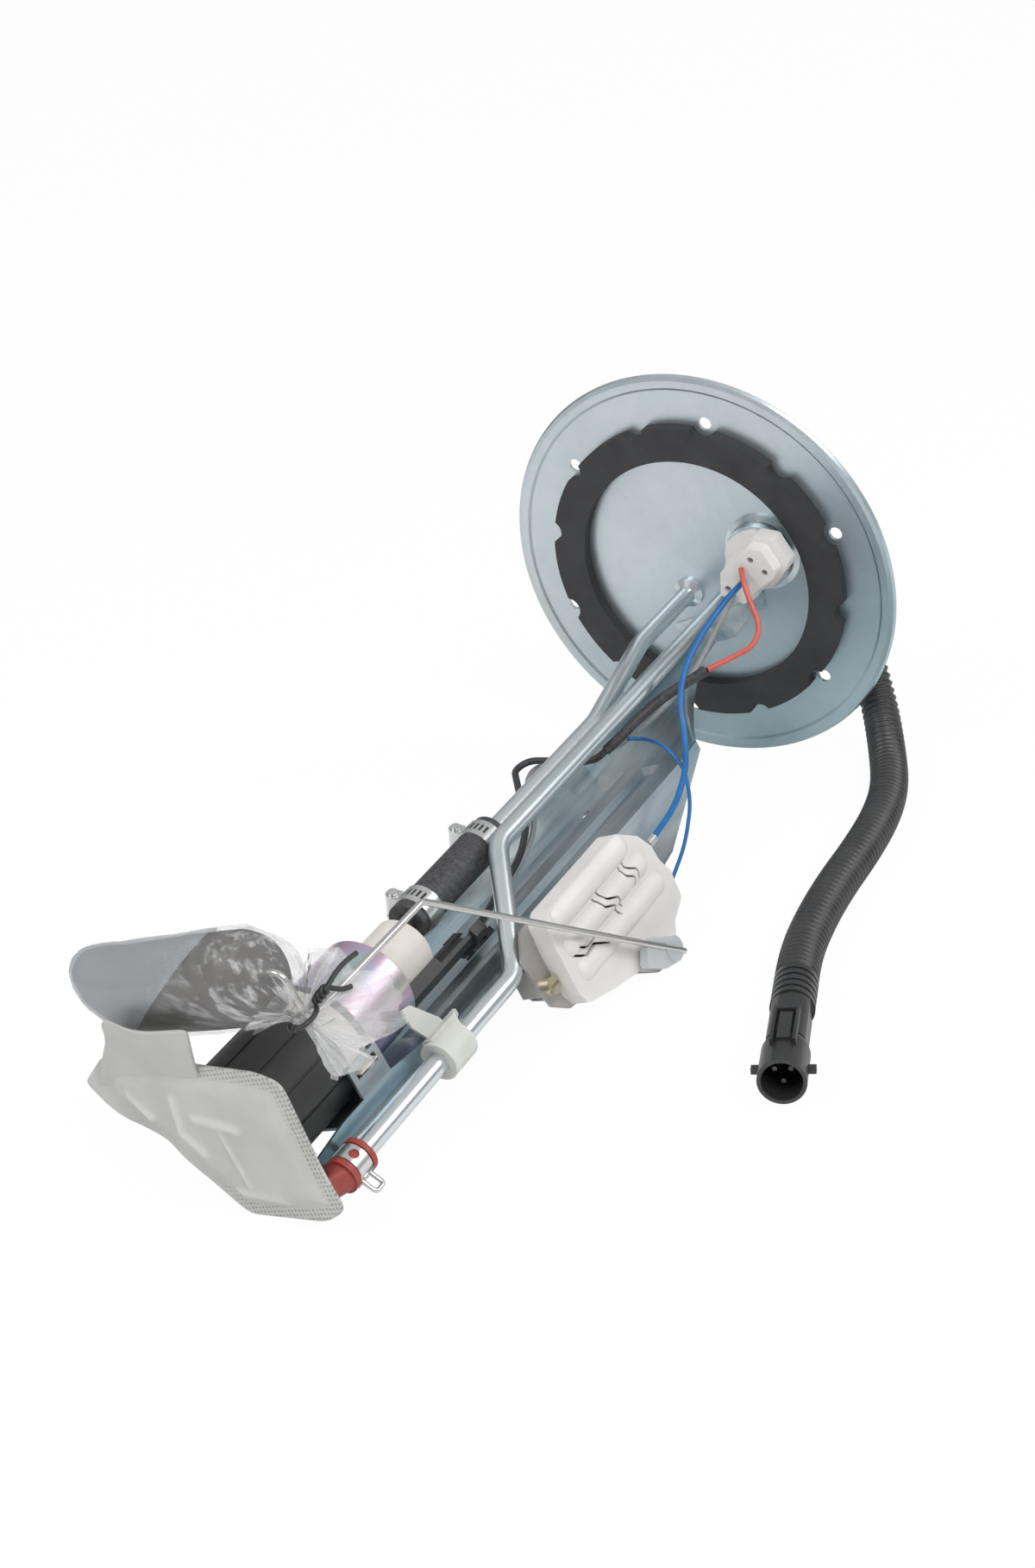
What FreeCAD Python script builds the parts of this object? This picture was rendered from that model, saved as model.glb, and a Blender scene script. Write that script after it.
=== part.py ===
import FreeCAD
import Part
import math
import os

# Fuel pump module of an in-tank sender assembly, in millimetres.
# Each piece is drawn along the module axis: +X runs from the mounting flange to the pump,
# +Y points to the level sender and +Z away from the bracket web. At the end every piece is
# laid down on the table that the module rests on, by one roll and one pitch.
# The origin is the centre of the flange face that seals against the tank.

V = FreeCAD.Vector

# how the module lies
lie_roll = 18.22
lie_pitch = 7.92

# mounting flange and its bolt circle
flange_radius = 94.0
flange_thick = 1.6
flange_bead_in = 87.0
flange_bead_rise = 0.7
flange_rim_drop = 1.8
bolt_circle_radius = 73.4
bolt_hole_radius = 3.0
bolt_count = 6
bolt_angles = [360.0 / bolt_count * i for i in range(bolt_count)]
gasket_inner = 55.8
gasket_outer = 71.5
gasket_thick = 5.5
gasket_notch = 5.5
gasket_angles = [29.0, 87.0, 148.0, 210.0, 270.0, 331.0]

# electrical feed-through
cup_y = 36.0
cup_z = 1.0
cup_outer = 15.2
cup_wall = 1.2
cup_in = 7.0
cup_out = 26.0
cup_collar = 18.0
plug_wall = 2.2

# steel lines
line_radius = 4.0
line_wall = 0.8
line_bend = 15.0
line_bead = 7.0
stub_out = 42.0
supply_y = -10.0
supply_z = -8.6
return_y = 14.0
return_z = -12.0
jog_start = 210.2
jog_end = 255.5
lower_y = 33.8
lower_z = -43.9
lower_end = 364.0
bend_near = 48.9
bend_far = 110.9

# outlet hose and its clamps
hose_y = -0.4
hose_z = -14.3
hose_start = 196.5
hose_end = 258.0
hose_radius = 8.0
hose_grip = 22.0
clamp_width = 9.0
clamp_band = 0.8
clamp_inset = 3.5
clamp_turn = 62.0

# pump
pump_y = 2.0
pump_z = -19.2
cap_radius = 12.5
cap_start = 266.5
can_start = 290.0
can_end = 370.0
can_radius = 20.0
can_wall = 1.0
sleeve_start = 322.0
sleeve_end = 374.0
sleeve_wall = 2.4
sleeve_radius = can_radius + sleeve_wall
sleeve_grooves = 12
shaft_radius = 1.6
armature_radius = 11.5
magnet_inner = 12.3
impeller_radius = 15.0
impeller_blades = 24
plug_start = 240.0
plug_turn = -150.0
ball_radius = 2.4
ball_seat = 279.0
fit_gap = 0.05
seat_gap = 0.3

# clip of the lower line
clip_start = 284.0
clip_length = 20.0
clip_lean = 10.0
clip_radius = 7.6

# bracket
sheet = 1.2
web_z = -42.0
web_left = -28.0
web_right = pump_y + sleeve_radius + 1.2
lip_height = 4.5
neck_end = 97.0
neck_z = -34.0
neck_left = -24.0
neck_wall = 5.5
rib_start = 104.0
rib_end = 293.0
full_end = 300.0
web_end = 345.0
tail_left = -12.0
rail_start = 292.0
rail_end = 370.0
rail_top = -35.0
wall_low = -72.0
strap_x = 331.0
strap_width = 10.0
strap_thick = 0.7

# level sender
sender_back = 38.0
sender_face = 48.0
sender_skin = 1.6
screw_x = 246.5
screw_z = -56.0
pivot_x = 192.0
pivot_z = -79.5
arm_y = 52.6
wire_radius = 1.25
post_radius = 3.0
elbow_x = 294.5
elbow_z = 13.2
arm_end_x = 363.0
float_z = 33.0
float_radius = 14.0
float_near = 44.0
float_far = -22.0
float_bore = 1.3
bag_film = 0.4
bag_radius = 16.4
bag_neck = 2.6
tie_radius = 0.7

# pickup sock
sock_x = 384.0
sock_tilt = 7.4
sock_half = 3.0
flap_lean = 14.0
neck_radius = 7.0

# harness tail
conduit_radius = 8.3
conduit_route = [
    (-20, 45.5, -5), (-26, 54, -26), (-33, 63, -47), (-26, 72, -69), (-5, 84, -82.5),
    (22, 96.5, -84.8), (50, 104.5, -84.8), (82, 109.5, -84.8), (114, 112.5, -84.8),
    (143, 117, -84.8), (171, 123.5, -84.8), (190, 131, -84.05),
]
connector_length = 74.0
mouth_radius = 8.7


def unit(v):
    return v * (1.0 / v.Length)


def corner(before, point, after, radius):
    """Tangent points and middle of the arc that rounds one corner."""
    back = unit(before - point)
    ahead = unit(after - point)
    half = back.getAngle(ahead) / 2
    reach = radius / math.tan(half)
    middle = point + unit(back + ahead) * (radius / math.sin(half) - radius)
    return point + back * reach, middle, point + ahead * reach


def path(points, radii):
    """Open wire of straight runs joined by tangent arcs."""
    edges = []
    last = points[0]
    for i in range(1, len(points) - 1):
        start, middle, end = corner(points[i - 1], points[i], points[i + 1], radii[i - 1])
        edges.append(Part.LineSegment(last, start).toShape())
        edges.append(Part.Arc(start, middle, end).toShape())
        last = end
    edges.append(Part.LineSegment(last, points[-1]).toShape())
    return Part.Wire(edges)


def outline(points, radius):
    """Closed face with every corner rounded by the same radius."""
    if radius <= 0:
        return Part.Face(Part.makePolygon(points + [points[0]]))
    count = len(points)
    arcs = [corner(points[i - 1], points[i], points[(i + 1) % count], radius) for i in range(count)]
    edges = []
    for i in range(count):
        start, middle, end = arcs[i]
        edges.append(Part.Arc(start, middle, end).toShape())
        edges.append(Part.LineSegment(end, arcs[(i + 1) % count][0]).toShape())
    return Part.Face(Part.Wire(edges))


def prism_x(points, x0, x1, radius=0.0):
    return outline([V(x0, y, z) for y, z in points], radius).extrude(V(x1 - x0, 0, 0))


def prism_y(points, y0, y1, radius=0.0):
    return outline([V(x, y0, z) for x, z in points], radius).extrude(V(0, y1 - y0, 0))


def prism_z(points, z0, z1, radius=0.0):
    return outline([V(x, y, z0) for x, y in points], radius).extrude(V(0, 0, z1 - z0))


def box(x0, x1, y0, y1, z0, z1):
    return Part.makeBox(x1 - x0, y1 - y0, z1 - z0, V(x0, y0, z0))


def rod(x0, x1, y, z, radius):
    return Part.makeCylinder(radius, x1 - x0, V(x0, y, z), V(1, 0, 0))


def rod_y(y0, y1, x, z, radius):
    return Part.makeCylinder(radius, y1 - y0, V(x, y0, z), V(0, 1, 0))


def ring(x0, x1, y, z, outer, inner):
    return rod(x0, x1, y, z, outer).cut(rod(x0 - 1, x1 + 1, y, z, inner))


def turned(profile, y, z):
    """Solid turned about an axis along X from (x, radius) points."""
    points = [V(x, y + r, z) for x, r in profile]
    face = Part.Face(Part.makePolygon(points + [points[0]]))
    return face.revolve(V(0, y, z), V(1, 0, 0), 360)


def turned_y(profile, x, z):
    """Solid turned about an axis along Y from (y, radius) points."""
    points = [V(x + r, y, z) for y, r in profile]
    face = Part.Face(Part.makePolygon(points + [points[0]]))
    return face.revolve(V(x, 0, z), V(0, 1, 0), 360)


def tube(points, radius, radii):
    """Round bar along a path."""
    wire = path(points, radii)
    heading = unit(points[1] - points[0])
    section = Part.Wire(Part.makeCircle(radius, points[0], heading))
    return wire.makePipeShell([section], True, False)


def cord_radii(points):
    """Largest arcs that the runs beside each point leave room for."""
    radii = []
    for i in range(1, len(points) - 1):
        back = points[i] - points[i - 1]
        ahead = points[i + 1] - points[i]
        turn = back.getAngle(ahead)
        radii.append(0.45 * min(back.Length, ahead.Length) / math.tan(turn / 2))
    return radii


def cord(points, radius):
    return tube(points, radius, cord_radii(points))


def about_x(shape, angle, y, z):
    turned_shape = shape.copy()
    turned_shape.rotate(V(0, y, z), V(1, 0, 0), angle)
    return turned_shape


def polar(radius, angle):
    turn = math.radians(angle)
    return radius * math.cos(turn), radius * math.sin(turn)


# Flange group

def flange_plate():
    bead_out = flange_bead_in + 1.2
    rim_in = flange_radius - 2.6
    profile = [
        (0, 0), (0, flange_bead_in), (flange_bead_rise, bead_out), (flange_bead_rise, rim_in),
        (flange_bead_rise - 0.5, flange_radius - 0.8), (flange_bead_rise - flange_rim_drop, flange_radius),
        (flange_bead_rise - flange_rim_drop - 1.0, flange_radius - 0.5),
        (flange_bead_rise - flange_thick, rim_in - 0.6),
        (flange_bead_rise - flange_thick, bead_out), (-flange_thick, flange_bead_in),
        (-flange_thick, 0),
    ]
    plate = turned(profile, 0, 0)
    for angle in bolt_angles:
        y, z = polar(bolt_circle_radius, angle)
        plate = plate.cut(rod(-5, 5, y, z, bolt_hole_radius))
    plate = plate.cut(rod(-5, 5, cup_y, cup_z, cup_outer + fit_gap))
    plate = plate.cut(rod(-5, 5, supply_y, supply_z, line_radius + fit_gap))
    return plate.cut(rod(-5, 5, return_y, return_z, line_radius + fit_gap))


def flange_gasket():
    gasket = ring(0, gasket_thick, 0, 0, gasket_outer, gasket_inner)
    for angle in bolt_angles + gasket_angles:
        y, z = polar(bolt_circle_radius, angle)
        gasket = gasket.cut(rod(-1, gasket_thick + 1, y, z, gasket_notch))
    return gasket


def connector_cup():
    inner = cup_outer - cup_wall
    profile = [
        (-cup_out, inner), (-cup_out, cup_outer), (0, cup_outer), (0, cup_collar),
        (1.2, cup_collar), (2.2, cup_outer + 0.4), (cup_in, cup_outer), (cup_in, inner),
    ]
    return turned(profile, cup_y, cup_z)


def bulkhead_connector():
    drum_radius = cup_outer - cup_wall - fit_gap
    drum = rod(-8, cup_in + 3, cup_y, cup_z, drum_radius)
    hub = [(11, 14), (19, 10), (21, -2), (19, -5), (4, -10.5), (-4, -15), (-15, -7), (-9, 5)]
    block = prism_x([(cup_y + y, cup_z + z) for y, z in hub], cup_in + 3, cup_in + 11, 2.0)
    tower = prism_x([(cup_y + y * 0.86, cup_z + z * 0.86) for y, z in hub], cup_in + 11,
                    cup_in + 18, 2.0)
    body = drum.fuse([block, tower])
    for y, z in ((9, 6), (13, -1), (-8, -4)):
        body = body.cut(rod(cup_in + 12, cup_in + 19, cup_y + y, cup_z + z, 1.5))
    return body.removeSplitter()


def feed_pins():
    pins = [rod(-20, -8, cup_y + y, cup_z + z, 1.1) for y, z in ((0, 5), (-5, -4), (5, -4))]
    return Part.makeCompound(pins)


def harness_plug():
    bore = cup_outer + 0.1
    outer = bore + plug_wall
    shell = rod(-cup_out - 8, 8 - cup_out, cup_y, cup_z, outer)
    shell = shell.cut(rod(-cup_out, 9 - cup_out, cup_y, cup_z, bore))
    core = rod(-cup_out - 1, 6 - cup_out, cup_y, cup_z, cup_outer - cup_wall - 0.4)
    core = core.cut(Part.makeCompound([
        rod(-cup_out - 1, 7 - cup_out, cup_y + y, cup_z + z, 1.5) for y, z in ((0, 5), (-5, -4), (5, -4))
    ]))
    return shell.fuse(core)


def plug_outlet():
    """Angled outlet of the outer plug, drawn where it lies; the conduit leaves it downwards."""
    start = V(*conduit_route[0])
    heading = unit(V(*conduit_route[1]) - start)
    foot = start - heading * 24
    neck = Part.makeCone(11.5, conduit_radius + 1.6, 24, foot, heading)
    return neck


# Steel lines

def supply_points():
    return [
        V(-stub_out, supply_y, supply_z), V(bend_near, supply_y, supply_z),
        V(bend_far, hose_y, hose_z), V(hose_start + hose_grip, hose_y, hose_z),
    ]


def return_points():
    return [
        V(-stub_out, return_y, return_z), V(jog_start, return_y, return_z),
        V(jog_end, lower_y, lower_z), V(lower_end, lower_y, lower_z),
    ]


def steel_line(points, y, z):
    radii = [line_bend * 2, line_bend * 2] if y == supply_y else [line_bend, line_bend]
    outer = tube(points, line_radius, radii)
    bore = tube(points, line_radius - line_wall, radii)
    bead = turned([(0, 0), (0, line_bead), (1.6, line_bead), (3.2, line_radius), (3.2, 0)], y, z)
    ridge = turned(
        [(-34, 0), (-34, line_radius), (-33, 5.2), (-32, 5.2), (-31, line_radius), (-31, 0)], y, z)
    return outer.fuse([bead, ridge]).cut(bore)


def supply_line():
    return steel_line(supply_points(), supply_y, supply_z)


def return_line():
    return steel_line(return_points(), return_y, return_z)


def outlet_hose():
    return ring(hose_start, hose_end, hose_y, hose_z, hose_radius, line_radius + fit_gap)


def clamp_place():
    return [hose_start + clamp_inset, hose_end - clamp_inset - clamp_width]


def hose_clamp(x0):
    """Slotted band with a low half-round housing for its worm screw."""
    inner = hose_radius + fit_gap
    outer = inner + clamp_band
    band = ring(x0, x0 + clamp_width, hose_y, hose_z, outer, inner)
    for i in range(6):
        slot = box(x0 + 2.6, x0 + clamp_width - 2.6, hose_y - 0.5, hose_y + 0.5, hose_z + inner - 1,
                   hose_z + outer + 1)
        band = band.cut(about_x(slot, -40 - 14 * i, hose_y, hose_z))
    middle = x0 + clamp_width / 2
    level = hose_z + outer + 2.05
    dome = Part.makeCylinder(2.9, 9, V(middle, hose_y - 4.5, level), V(0, 1, 0))
    seat = box(middle - 2.9, middle + 2.9, hose_y - 4.5, hose_y + 4.5, hose_z + outer - 1.6, level)
    housing = dome.fuse(seat)
    housing = housing.cut(Part.makeCylinder(2.1, 14, V(middle, hose_y - 7, level), V(0, 1, 0)))
    housing = housing.cut(rod(x0 - 1, x0 + clamp_width + 1, hose_y, hose_z, inner))
    return about_x(band.fuse(housing), clamp_turn, hose_y, hose_z)


def clamp_screw(x0):
    outer = hose_radius + fit_gap + clamp_band
    place = V(x0 + clamp_width / 2, hose_y - 5.0, hose_z + outer + 2.05)
    shank = Part.makeCylinder(2.0, 10.5, place, V(0, 1, 0))
    head = Part.makeCylinder(3.0, 2.4, place - V(0, 2.6, 0), V(0, 1, 0))
    slot = box(place.x - 0.5, place.x + 0.5, place.y - 3.0, place.y - 1.7, place.z - 4, place.z + 4)
    neck_turn = Part.makeCylinder(2.0, 0.4, place - V(0, 0.3, 0), V(0, 1, 0))
    return about_x(shank.fuse([neck_turn, head]).cut(slot), clamp_turn, hose_y, hose_z)


# Pump

def pump_can():
    inner = can_radius - can_wall
    profile = [
        (can_start, cap_radius + fit_gap), (can_start, can_radius - 1.5),
        (can_start + 1.5, can_radius), (can_end, can_radius), (can_end, inner),
        (can_start + can_wall, inner), (can_start + can_wall, cap_radius + fit_gap),
    ]
    return turned(profile, pump_y, pump_z)


def pump_cap():
    bore = 3.4
    profile = [
        (cap_start, 0), (cap_start, cap_radius - 0.8), (cap_start + 0.8, cap_radius),
        (can_start + can_wall, cap_radius), (can_start + can_wall, can_radius - can_wall - fit_gap),
        (can_start + 6, can_radius - can_wall - fit_gap), (can_start + 6, 0),
    ]
    cap = turned(profile, pump_y, pump_z)
    cap = cap.cut(rod(cap_start - 1, ball_seat, hose_y, hose_z, bore))
    cap = cap.cut(rod(cap_start - 1, can_start + 7, hose_y, hose_z, ball_radius * 0.75))
    return cap.cut(rod(can_start - 2, can_start + 7, pump_y, pump_z, bore))


def pump_outlet():
    flare = 1.1
    profile = [
        (hose_end - 16, 2.6), (hose_end - 16, line_radius - flare), (hose_end - 14, line_radius),
        (cap_start, line_radius), (cap_start, 3.35), (cap_start + 7.4, 3.35), (cap_start + 7.4, 1.8),
        (cap_start + 6, 1.8), (cap_start + 6, 2.6),
    ]
    return turned(profile, hose_y, hose_z)


def check_ball():
    stand = ball_radius * math.sqrt(1 - 0.75 ** 2) + fit_gap
    return Part.makeSphere(ball_radius, V(ball_seat - stand, hose_y, hose_z))


def pump_bearings():
    upper = ring(can_start, can_start + 5, pump_y, pump_z, 3.4 - fit_gap, shaft_radius + fit_gap)
    lower = ring(can_end - 9, can_end - 6, pump_y, pump_z, 3.4 - fit_gap, shaft_radius + fit_gap)
    return Part.makeCompound([upper, lower])


def rotor_shaft():
    return rod(can_start + 0.5, can_end - 2.5, pump_y, pump_z, shaft_radius)


def armature():
    x0, x1 = can_start + 16, can_end - 20
    core = ring(x0, x1, pump_y, pump_z, armature_radius, shaft_radius)
    for i in range(8):
        slot = box(x0 - 1, x1 + 1, pump_y - 1, pump_y + 1, pump_z + 7, pump_z + 14)
        core = core.cut(about_x(slot, 45 * i, pump_y, pump_z))
    commutator = ring(x0 - 8, x0, pump_y, pump_z, 6.5, shaft_radius)
    return core.fuse(commutator)


def pump_magnets():
    x0, x1 = can_start + 13, can_end - 18
    shell = ring(x0, x1, pump_y, pump_z, can_radius - can_wall - fit_gap, magnet_inner)
    gap = box(x0 - 1, x1 + 1, pump_y - 4, pump_y + 4, pump_z - 30, pump_z + 30)
    return shell.cut(gap)


def impeller():
    x0, x1 = can_end - 5.6, can_end - 2.9
    wheel = ring(x0, x1, pump_y, pump_z, impeller_radius, shaft_radius)
    for i in range(impeller_blades):
        y, z = polar(impeller_radius, 360.0 / impeller_blades * i)
        wheel = wheel.cut(rod(x0 - 1, x1 + 1, pump_y + y, pump_z + z, 1.2))
    return wheel


def pump_volute():
    """Carrier plate above the impeller, with the lower bearing seat."""
    inner = can_radius - can_wall - fit_gap
    profile = [
        (can_end - 9, 3.4), (can_end - 9, inner), (can_end - 2.5, inner),
        (can_end - 2.5, impeller_radius + 0.4), (can_end - 6, impeller_radius + 0.4), (can_end - 6, 3.4),
    ]
    return turned(profile, pump_y, pump_z)


def pump_inlet():
    inner = can_radius - can_wall - fit_gap
    profile = [
        (can_end - 2.5, shaft_radius + 1), (can_end - 2.5, inner), (can_end, inner),
        (can_end, can_radius), (can_end + 2, can_radius), (can_end + 2, 4.5),
        (sleeve_end + 6.5, 4.5), (sleeve_end + 6.5, 3), (can_end, 3), (can_end, shaft_radius + 1),
    ]
    return turned(profile, pump_y, pump_z)


def pump_sleeve():
    sleeve = ring(sleeve_start, sleeve_end, pump_y, pump_z, sleeve_radius, can_radius + fit_gap)
    lip = ring(can_end + 2, sleeve_end, pump_y, pump_z, can_radius + 1, 16)
    sleeve = sleeve.fuse(lip)
    for i in range(sleeve_grooves):
        groove = box(sleeve_start - 1, sleeve_end + 1, pump_y - 0.6, pump_y + 0.6,
                     pump_z + sleeve_radius - 0.7, pump_z + sleeve_radius + 1)
        sleeve = sleeve.cut(about_x(groove, 360.0 / sleeve_grooves * (i + 0.5), pump_y, pump_z))
    return sleeve


def pump_terminal_plug():
    """Terminal plug clipped to the side of the cap, with a framed latch at its wire end."""
    top = pump_z + cap_radius
    body = prism_x([(pump_y - 6.5, top - 2), (pump_y - 6.5, top + 3.6), (pump_y - 4, top + 5.6),
                    (pump_y + 5, top + 5.6), (pump_y + 7.5, top + 3), (pump_y + 7.5, top - 4)],
                   plug_start + 7, can_start)
    collar = prism_x([(pump_y - 8, top - 2), (pump_y - 8, top + 5), (pump_y - 5.5, top + 7),
                      (pump_y + 6.5, top + 7), (pump_y + 9, top + 4.5), (pump_y + 9, top - 3)],
                     plug_start, plug_start + 7.02)
    collar = collar.cut(box(plug_start - 1, plug_start + 3, pump_y - 6.4, pump_y + 7.4, top, top + 5.2))
    latch = box(plug_start - 4, plug_start + 9, pump_y - 3, pump_y + 4, top + 7.3, top + 8.5)
    rise = box(plug_start + 5, plug_start + 7, pump_y - 3, pump_y + 4, top + 5, top + 7.4)
    bridge = box(plug_start - 4, plug_start - 2.6, pump_y - 4.5, pump_y + 5.5, top + 5.6, top + 8.5)
    bridge = bridge.fuse(box(plug_start - 2.7, plug_start + 1, pump_y - 4.5, pump_y - 3, top + 5.6,
                             top + 8.5))
    shell = body.fuse([collar, latch, rise, bridge])
    shell = shell.cut(rod(plug_start - 9, can_start + 1, pump_y, pump_z, cap_radius + fit_gap))
    shell = shell.cut(rod(hose_start, cap_start, hose_y, hose_z, hose_radius + 2.2))
    return about_x(shell.removeSplitter(), plug_turn, pump_y, pump_z)


# Bracket

def rib(y0, y1, depth, grow):
    """Trough of one stiffening rib with sloped ends; grow adds the thickness of the sheet."""
    foot = 2.5 - 0.47 * grow
    side = 1.3 * grow
    deep = web_z - depth - grow
    across = prism_x([
        (y0 - side, web_z + 0.5), (y0 - side, web_z), (y0 + foot, deep), (y1 - foot, deep),
        (y1 + side, web_z), (y1 + side, web_z + 0.5),
    ], rib_start - 10, rib_end + 10)
    slope = 2.0 * depth
    lengthwise = prism_y([
        (rib_start - side, web_z + 0.5), (rib_start - side, web_z), (rib_start + slope, deep),
        (rib_end - slope, deep), (rib_end + side, web_z), (rib_end + side, web_z + 0.5),
    ], y0 - 10, y1 + 10)
    trough = across.common(lengthwise)
    if grow > 0:
        trough = trough.cut(box(0, 400, -60, 60, web_z, web_z + 2))
    return trough


def neck_level(x):
    """Height of the neck's upper face at one station."""
    return neck_z + (web_z - neck_z) * x / neck_end


def neck():
    """Neck that narrows to the flange, with a lip on the left and a low wall on the right."""
    edge = [(0, -9), (20, -7.3), (41, 0.7), (56, 7.2), (75, 17), (91, web_right + sheet)]
    plan = [(0, neck_left), (60, neck_left - 2), (neck_end, web_left - sheet),
            (neck_end, web_right + sheet)] + edge[::-1]
    end = neck_end + 0.01
    floor = prism_y([(0, neck_z), (end, web_z), (end, web_z - sheet), (0, neck_z - sheet)], -60, 60)
    floor = floor.common(prism_z(plan, web_z - 10, neck_z + 10))
    band = prism_y([(0, neck_z + neck_wall), (70, neck_level(70) + neck_wall),
                    (91, neck_level(91) + 1), (end, web_z), (end, web_z - sheet),
                    (0, neck_z - sheet)], -60, 60)
    inner = [(x, y - sheet * 1.15) for x, y in edge]
    right = band.common(prism_z(edge + inner[::-1], web_z - 10, neck_z + 10))
    lip = prism_y([(0, neck_z + lip_height), (end, web_z + lip_height), (end, web_z - sheet),
                   (0, neck_z - sheet)], -60, 60)
    left = lip.common(prism_z([
        (0, neck_left - sheet), (60, neck_left - 2 - sheet), (end, web_left - sheet), (end, web_left),
        (60, neck_left - 2), (0, neck_left),
    ], web_z - 10, neck_z + 10))
    return floor.fuse([right, left])


def foot_plate():
    """Foot of the neck, welded flat on the flange."""
    points = [(neck_left - sheet, neck_z - sheet), (1.6, neck_z - sheet), (14, -27.5), (24, -24.5),
              (27, -17), (22.5, -16.6), (13, -20.4), (-4, -20.4), (neck_left - sheet, -22)]
    plate = prism_x(points, 0, sheet, 0.8)
    return plate.fuse(box(0, sheet, neck_left - sheet, -8, neck_z - sheet, neck_z))


def bracket():
    lip = prism_x([(web_left, web_z), (web_left, web_z + lip_height),
                   (web_left - sheet, web_z + lip_height), (web_left - sheet, web_z - sheet),
                   (web_left, web_z - sheet)], neck_end, full_end)
    web = box(neck_end, full_end, web_left, web_right, web_z - sheet, web_z)
    for y0, y1, depth in ((-19.0, -3.5, 3.0), (5.0, 15.7, 2.2)):
        web = web.fuse(rib(y0, y1, depth, sheet)).cut(rib(y0, y1, depth, 0.0))
    tail = prism_z([
        (full_end, web_left), (full_end + 33, web_left + 7), (web_end, tail_left),
        (web_end, web_right), (full_end, web_right),
    ], web_z - sheet, web_z)
    wall = prism_y([
        (90, neck_level(90)), (neck_end, web_z), (full_end, web_z), (full_end, web_z - 4),
        (252, web_z - 6), (246, -62), (232, wall_low), (172, wall_low), (136, -67), (90, -45.5),
    ], web_right, web_right + sheet)
    rail = prism_y([(rail_start, web_z - sheet), (rail_start, web_z + 2), (rail_start + 9, rail_top - 3),
                    (strap_x - 8, rail_top), (rail_end - 18, rail_top), (rail_end, rail_top - 2),
                    (rail_end, web_z), (web_end, web_z - sheet)],
                   web_right, web_right + sheet)
    parts = [lip, tail, neck(), wall, rail, foot_plate(), strap_tab(), left_tab()]
    body = web.fuse(parts)
    for x, y, r in ((132, -9, 3.0), (178, 13, 2.0), (228, -11, 3.0), (270, 13, 2.0)):
        body = body.cut(Part.makeCylinder(r, 12, V(x, y, web_z - 8), V(0, 0, 1)))
    return body.removeSplitter()


def strap_tab():
    x0, x1 = strap_x - strap_width / 2 - 3.5, strap_x + strap_width / 2 + 3.5
    tab = prism_y([(x0, rail_top - 1), (x0, -23), (x1, -23), (x1, rail_top - 1)], web_right,
                  web_right + sheet)
    slot = box(x0 + 2.5, x1 - 2.5, web_right - 1, web_right + 3, -28.5, -25)
    return tab.cut(slot)


def left_tab():
    """Tab on the far side of the pump, carried by a tongue of the web."""
    y0 = pump_y - sleeve_radius - 1.2
    x0, x1 = strap_x - strap_width / 2 - 3.5, strap_x + strap_width / 2 + 3.5
    tab = prism_y([(x0, web_z - sheet), (x0, -23), (x1, -23), (x1, web_z - sheet)], y0 - sheet, y0)
    slot = box(x0 + 2.5, x1 - 2.5, y0 - 4, y0 + 1, -28.5, -25)
    root = box(x0, x1, y0 - sheet, pump_y - 14, web_z - sheet, web_z)
    return tab.cut(slot).fuse(root)


def pump_strap():
    """Band over the pump sleeve, hooked into the slots of the two tabs."""
    x0, x1 = strap_x - strap_width / 2, strap_x + strap_width / 2
    inner = sleeve_radius + 0.2
    band = ring(x0, x1, pump_y, pump_z, inner + strap_thick, inner)
    band = band.cut(box(x0 - 1, x1 + 1, -60, 60, -80, -27.5))
    z0 = -27.2
    right = box(x0, x1, pump_y + inner - 1.2, web_right + sheet + 1.4, z0, z0 + strap_thick)
    left = box(x0, x1, pump_y - inner - 3.6, pump_y - inner + 1.2, z0, z0 + strap_thick)
    return band.fuse([right, left]).removeSplitter()


def line_clip():
    """Plastic clip that sits on the side rail, wraps the lower line and stands up as a fin."""
    x0, x1 = clip_start, clip_start + clip_length
    wrap0, wrap1 = x0 + clip_lean, x1 + 4
    y0 = web_right + sheet + 0.1
    wrap = rod(wrap0, wrap1, lower_y, lower_z, clip_radius)
    wrap = wrap.cut(box(wrap0 - 1, wrap1 + 1, y0 - 9, y0, lower_z - 20, lower_z + 20))
    top, low = web_z + 4.4, lower_z - 6
    cheek = prism_y([(x0, web_z + 2), (x0, top), (x1, top), (wrap1, lower_z), (wrap1, low),
                     (wrap0, low), (wrap0 - 2, lower_z)], y0, y0 + 1.8)
    far = lower_y + clip_radius
    deck = prism_z([(x0, y0), (wrap0, far - 3), (wrap0, far), (wrap1, far), (x1, y0)],
                   lower_z - 1, lower_z + 10)
    roof = prism_x([(y0, lower_z), (y0, top), (lower_y - 1, lower_z + clip_radius + 0.4),
                    (lower_y + 2.5, lower_z + clip_radius - 0.7), (lower_y + 6.6, lower_z + 3),
                    (far, lower_z)], x0, wrap1)
    inner = prism_x([(y0 + 1.8, lower_z - 1), (y0 + 1.8, top - 2),
                     (lower_y - 0.6, lower_z + clip_radius - 1.4), (lower_y + 2.4, lower_z + 5.2),
                     (lower_y + 5, lower_z - 1)], x0 - 1, wrap0 + 4)
    shade = roof.common(deck).cut(inner)
    fin = prism_y([(x0 + 7, web_z + 3), (x0 + 8.5, -35), (x0 + 17.5, -23.2), (x0 + 22, -22.4),
                   (x0 + 21.8, -30), (x0 + 17, web_z + 3)], y0, y0 + 1.3)
    body = wrap.fuse([cheek, shade, fin])
    return body.cut(rod(x0 - 1, wrap1 + 1, lower_y, lower_z, line_radius + fit_gap)).removeSplitter()


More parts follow.
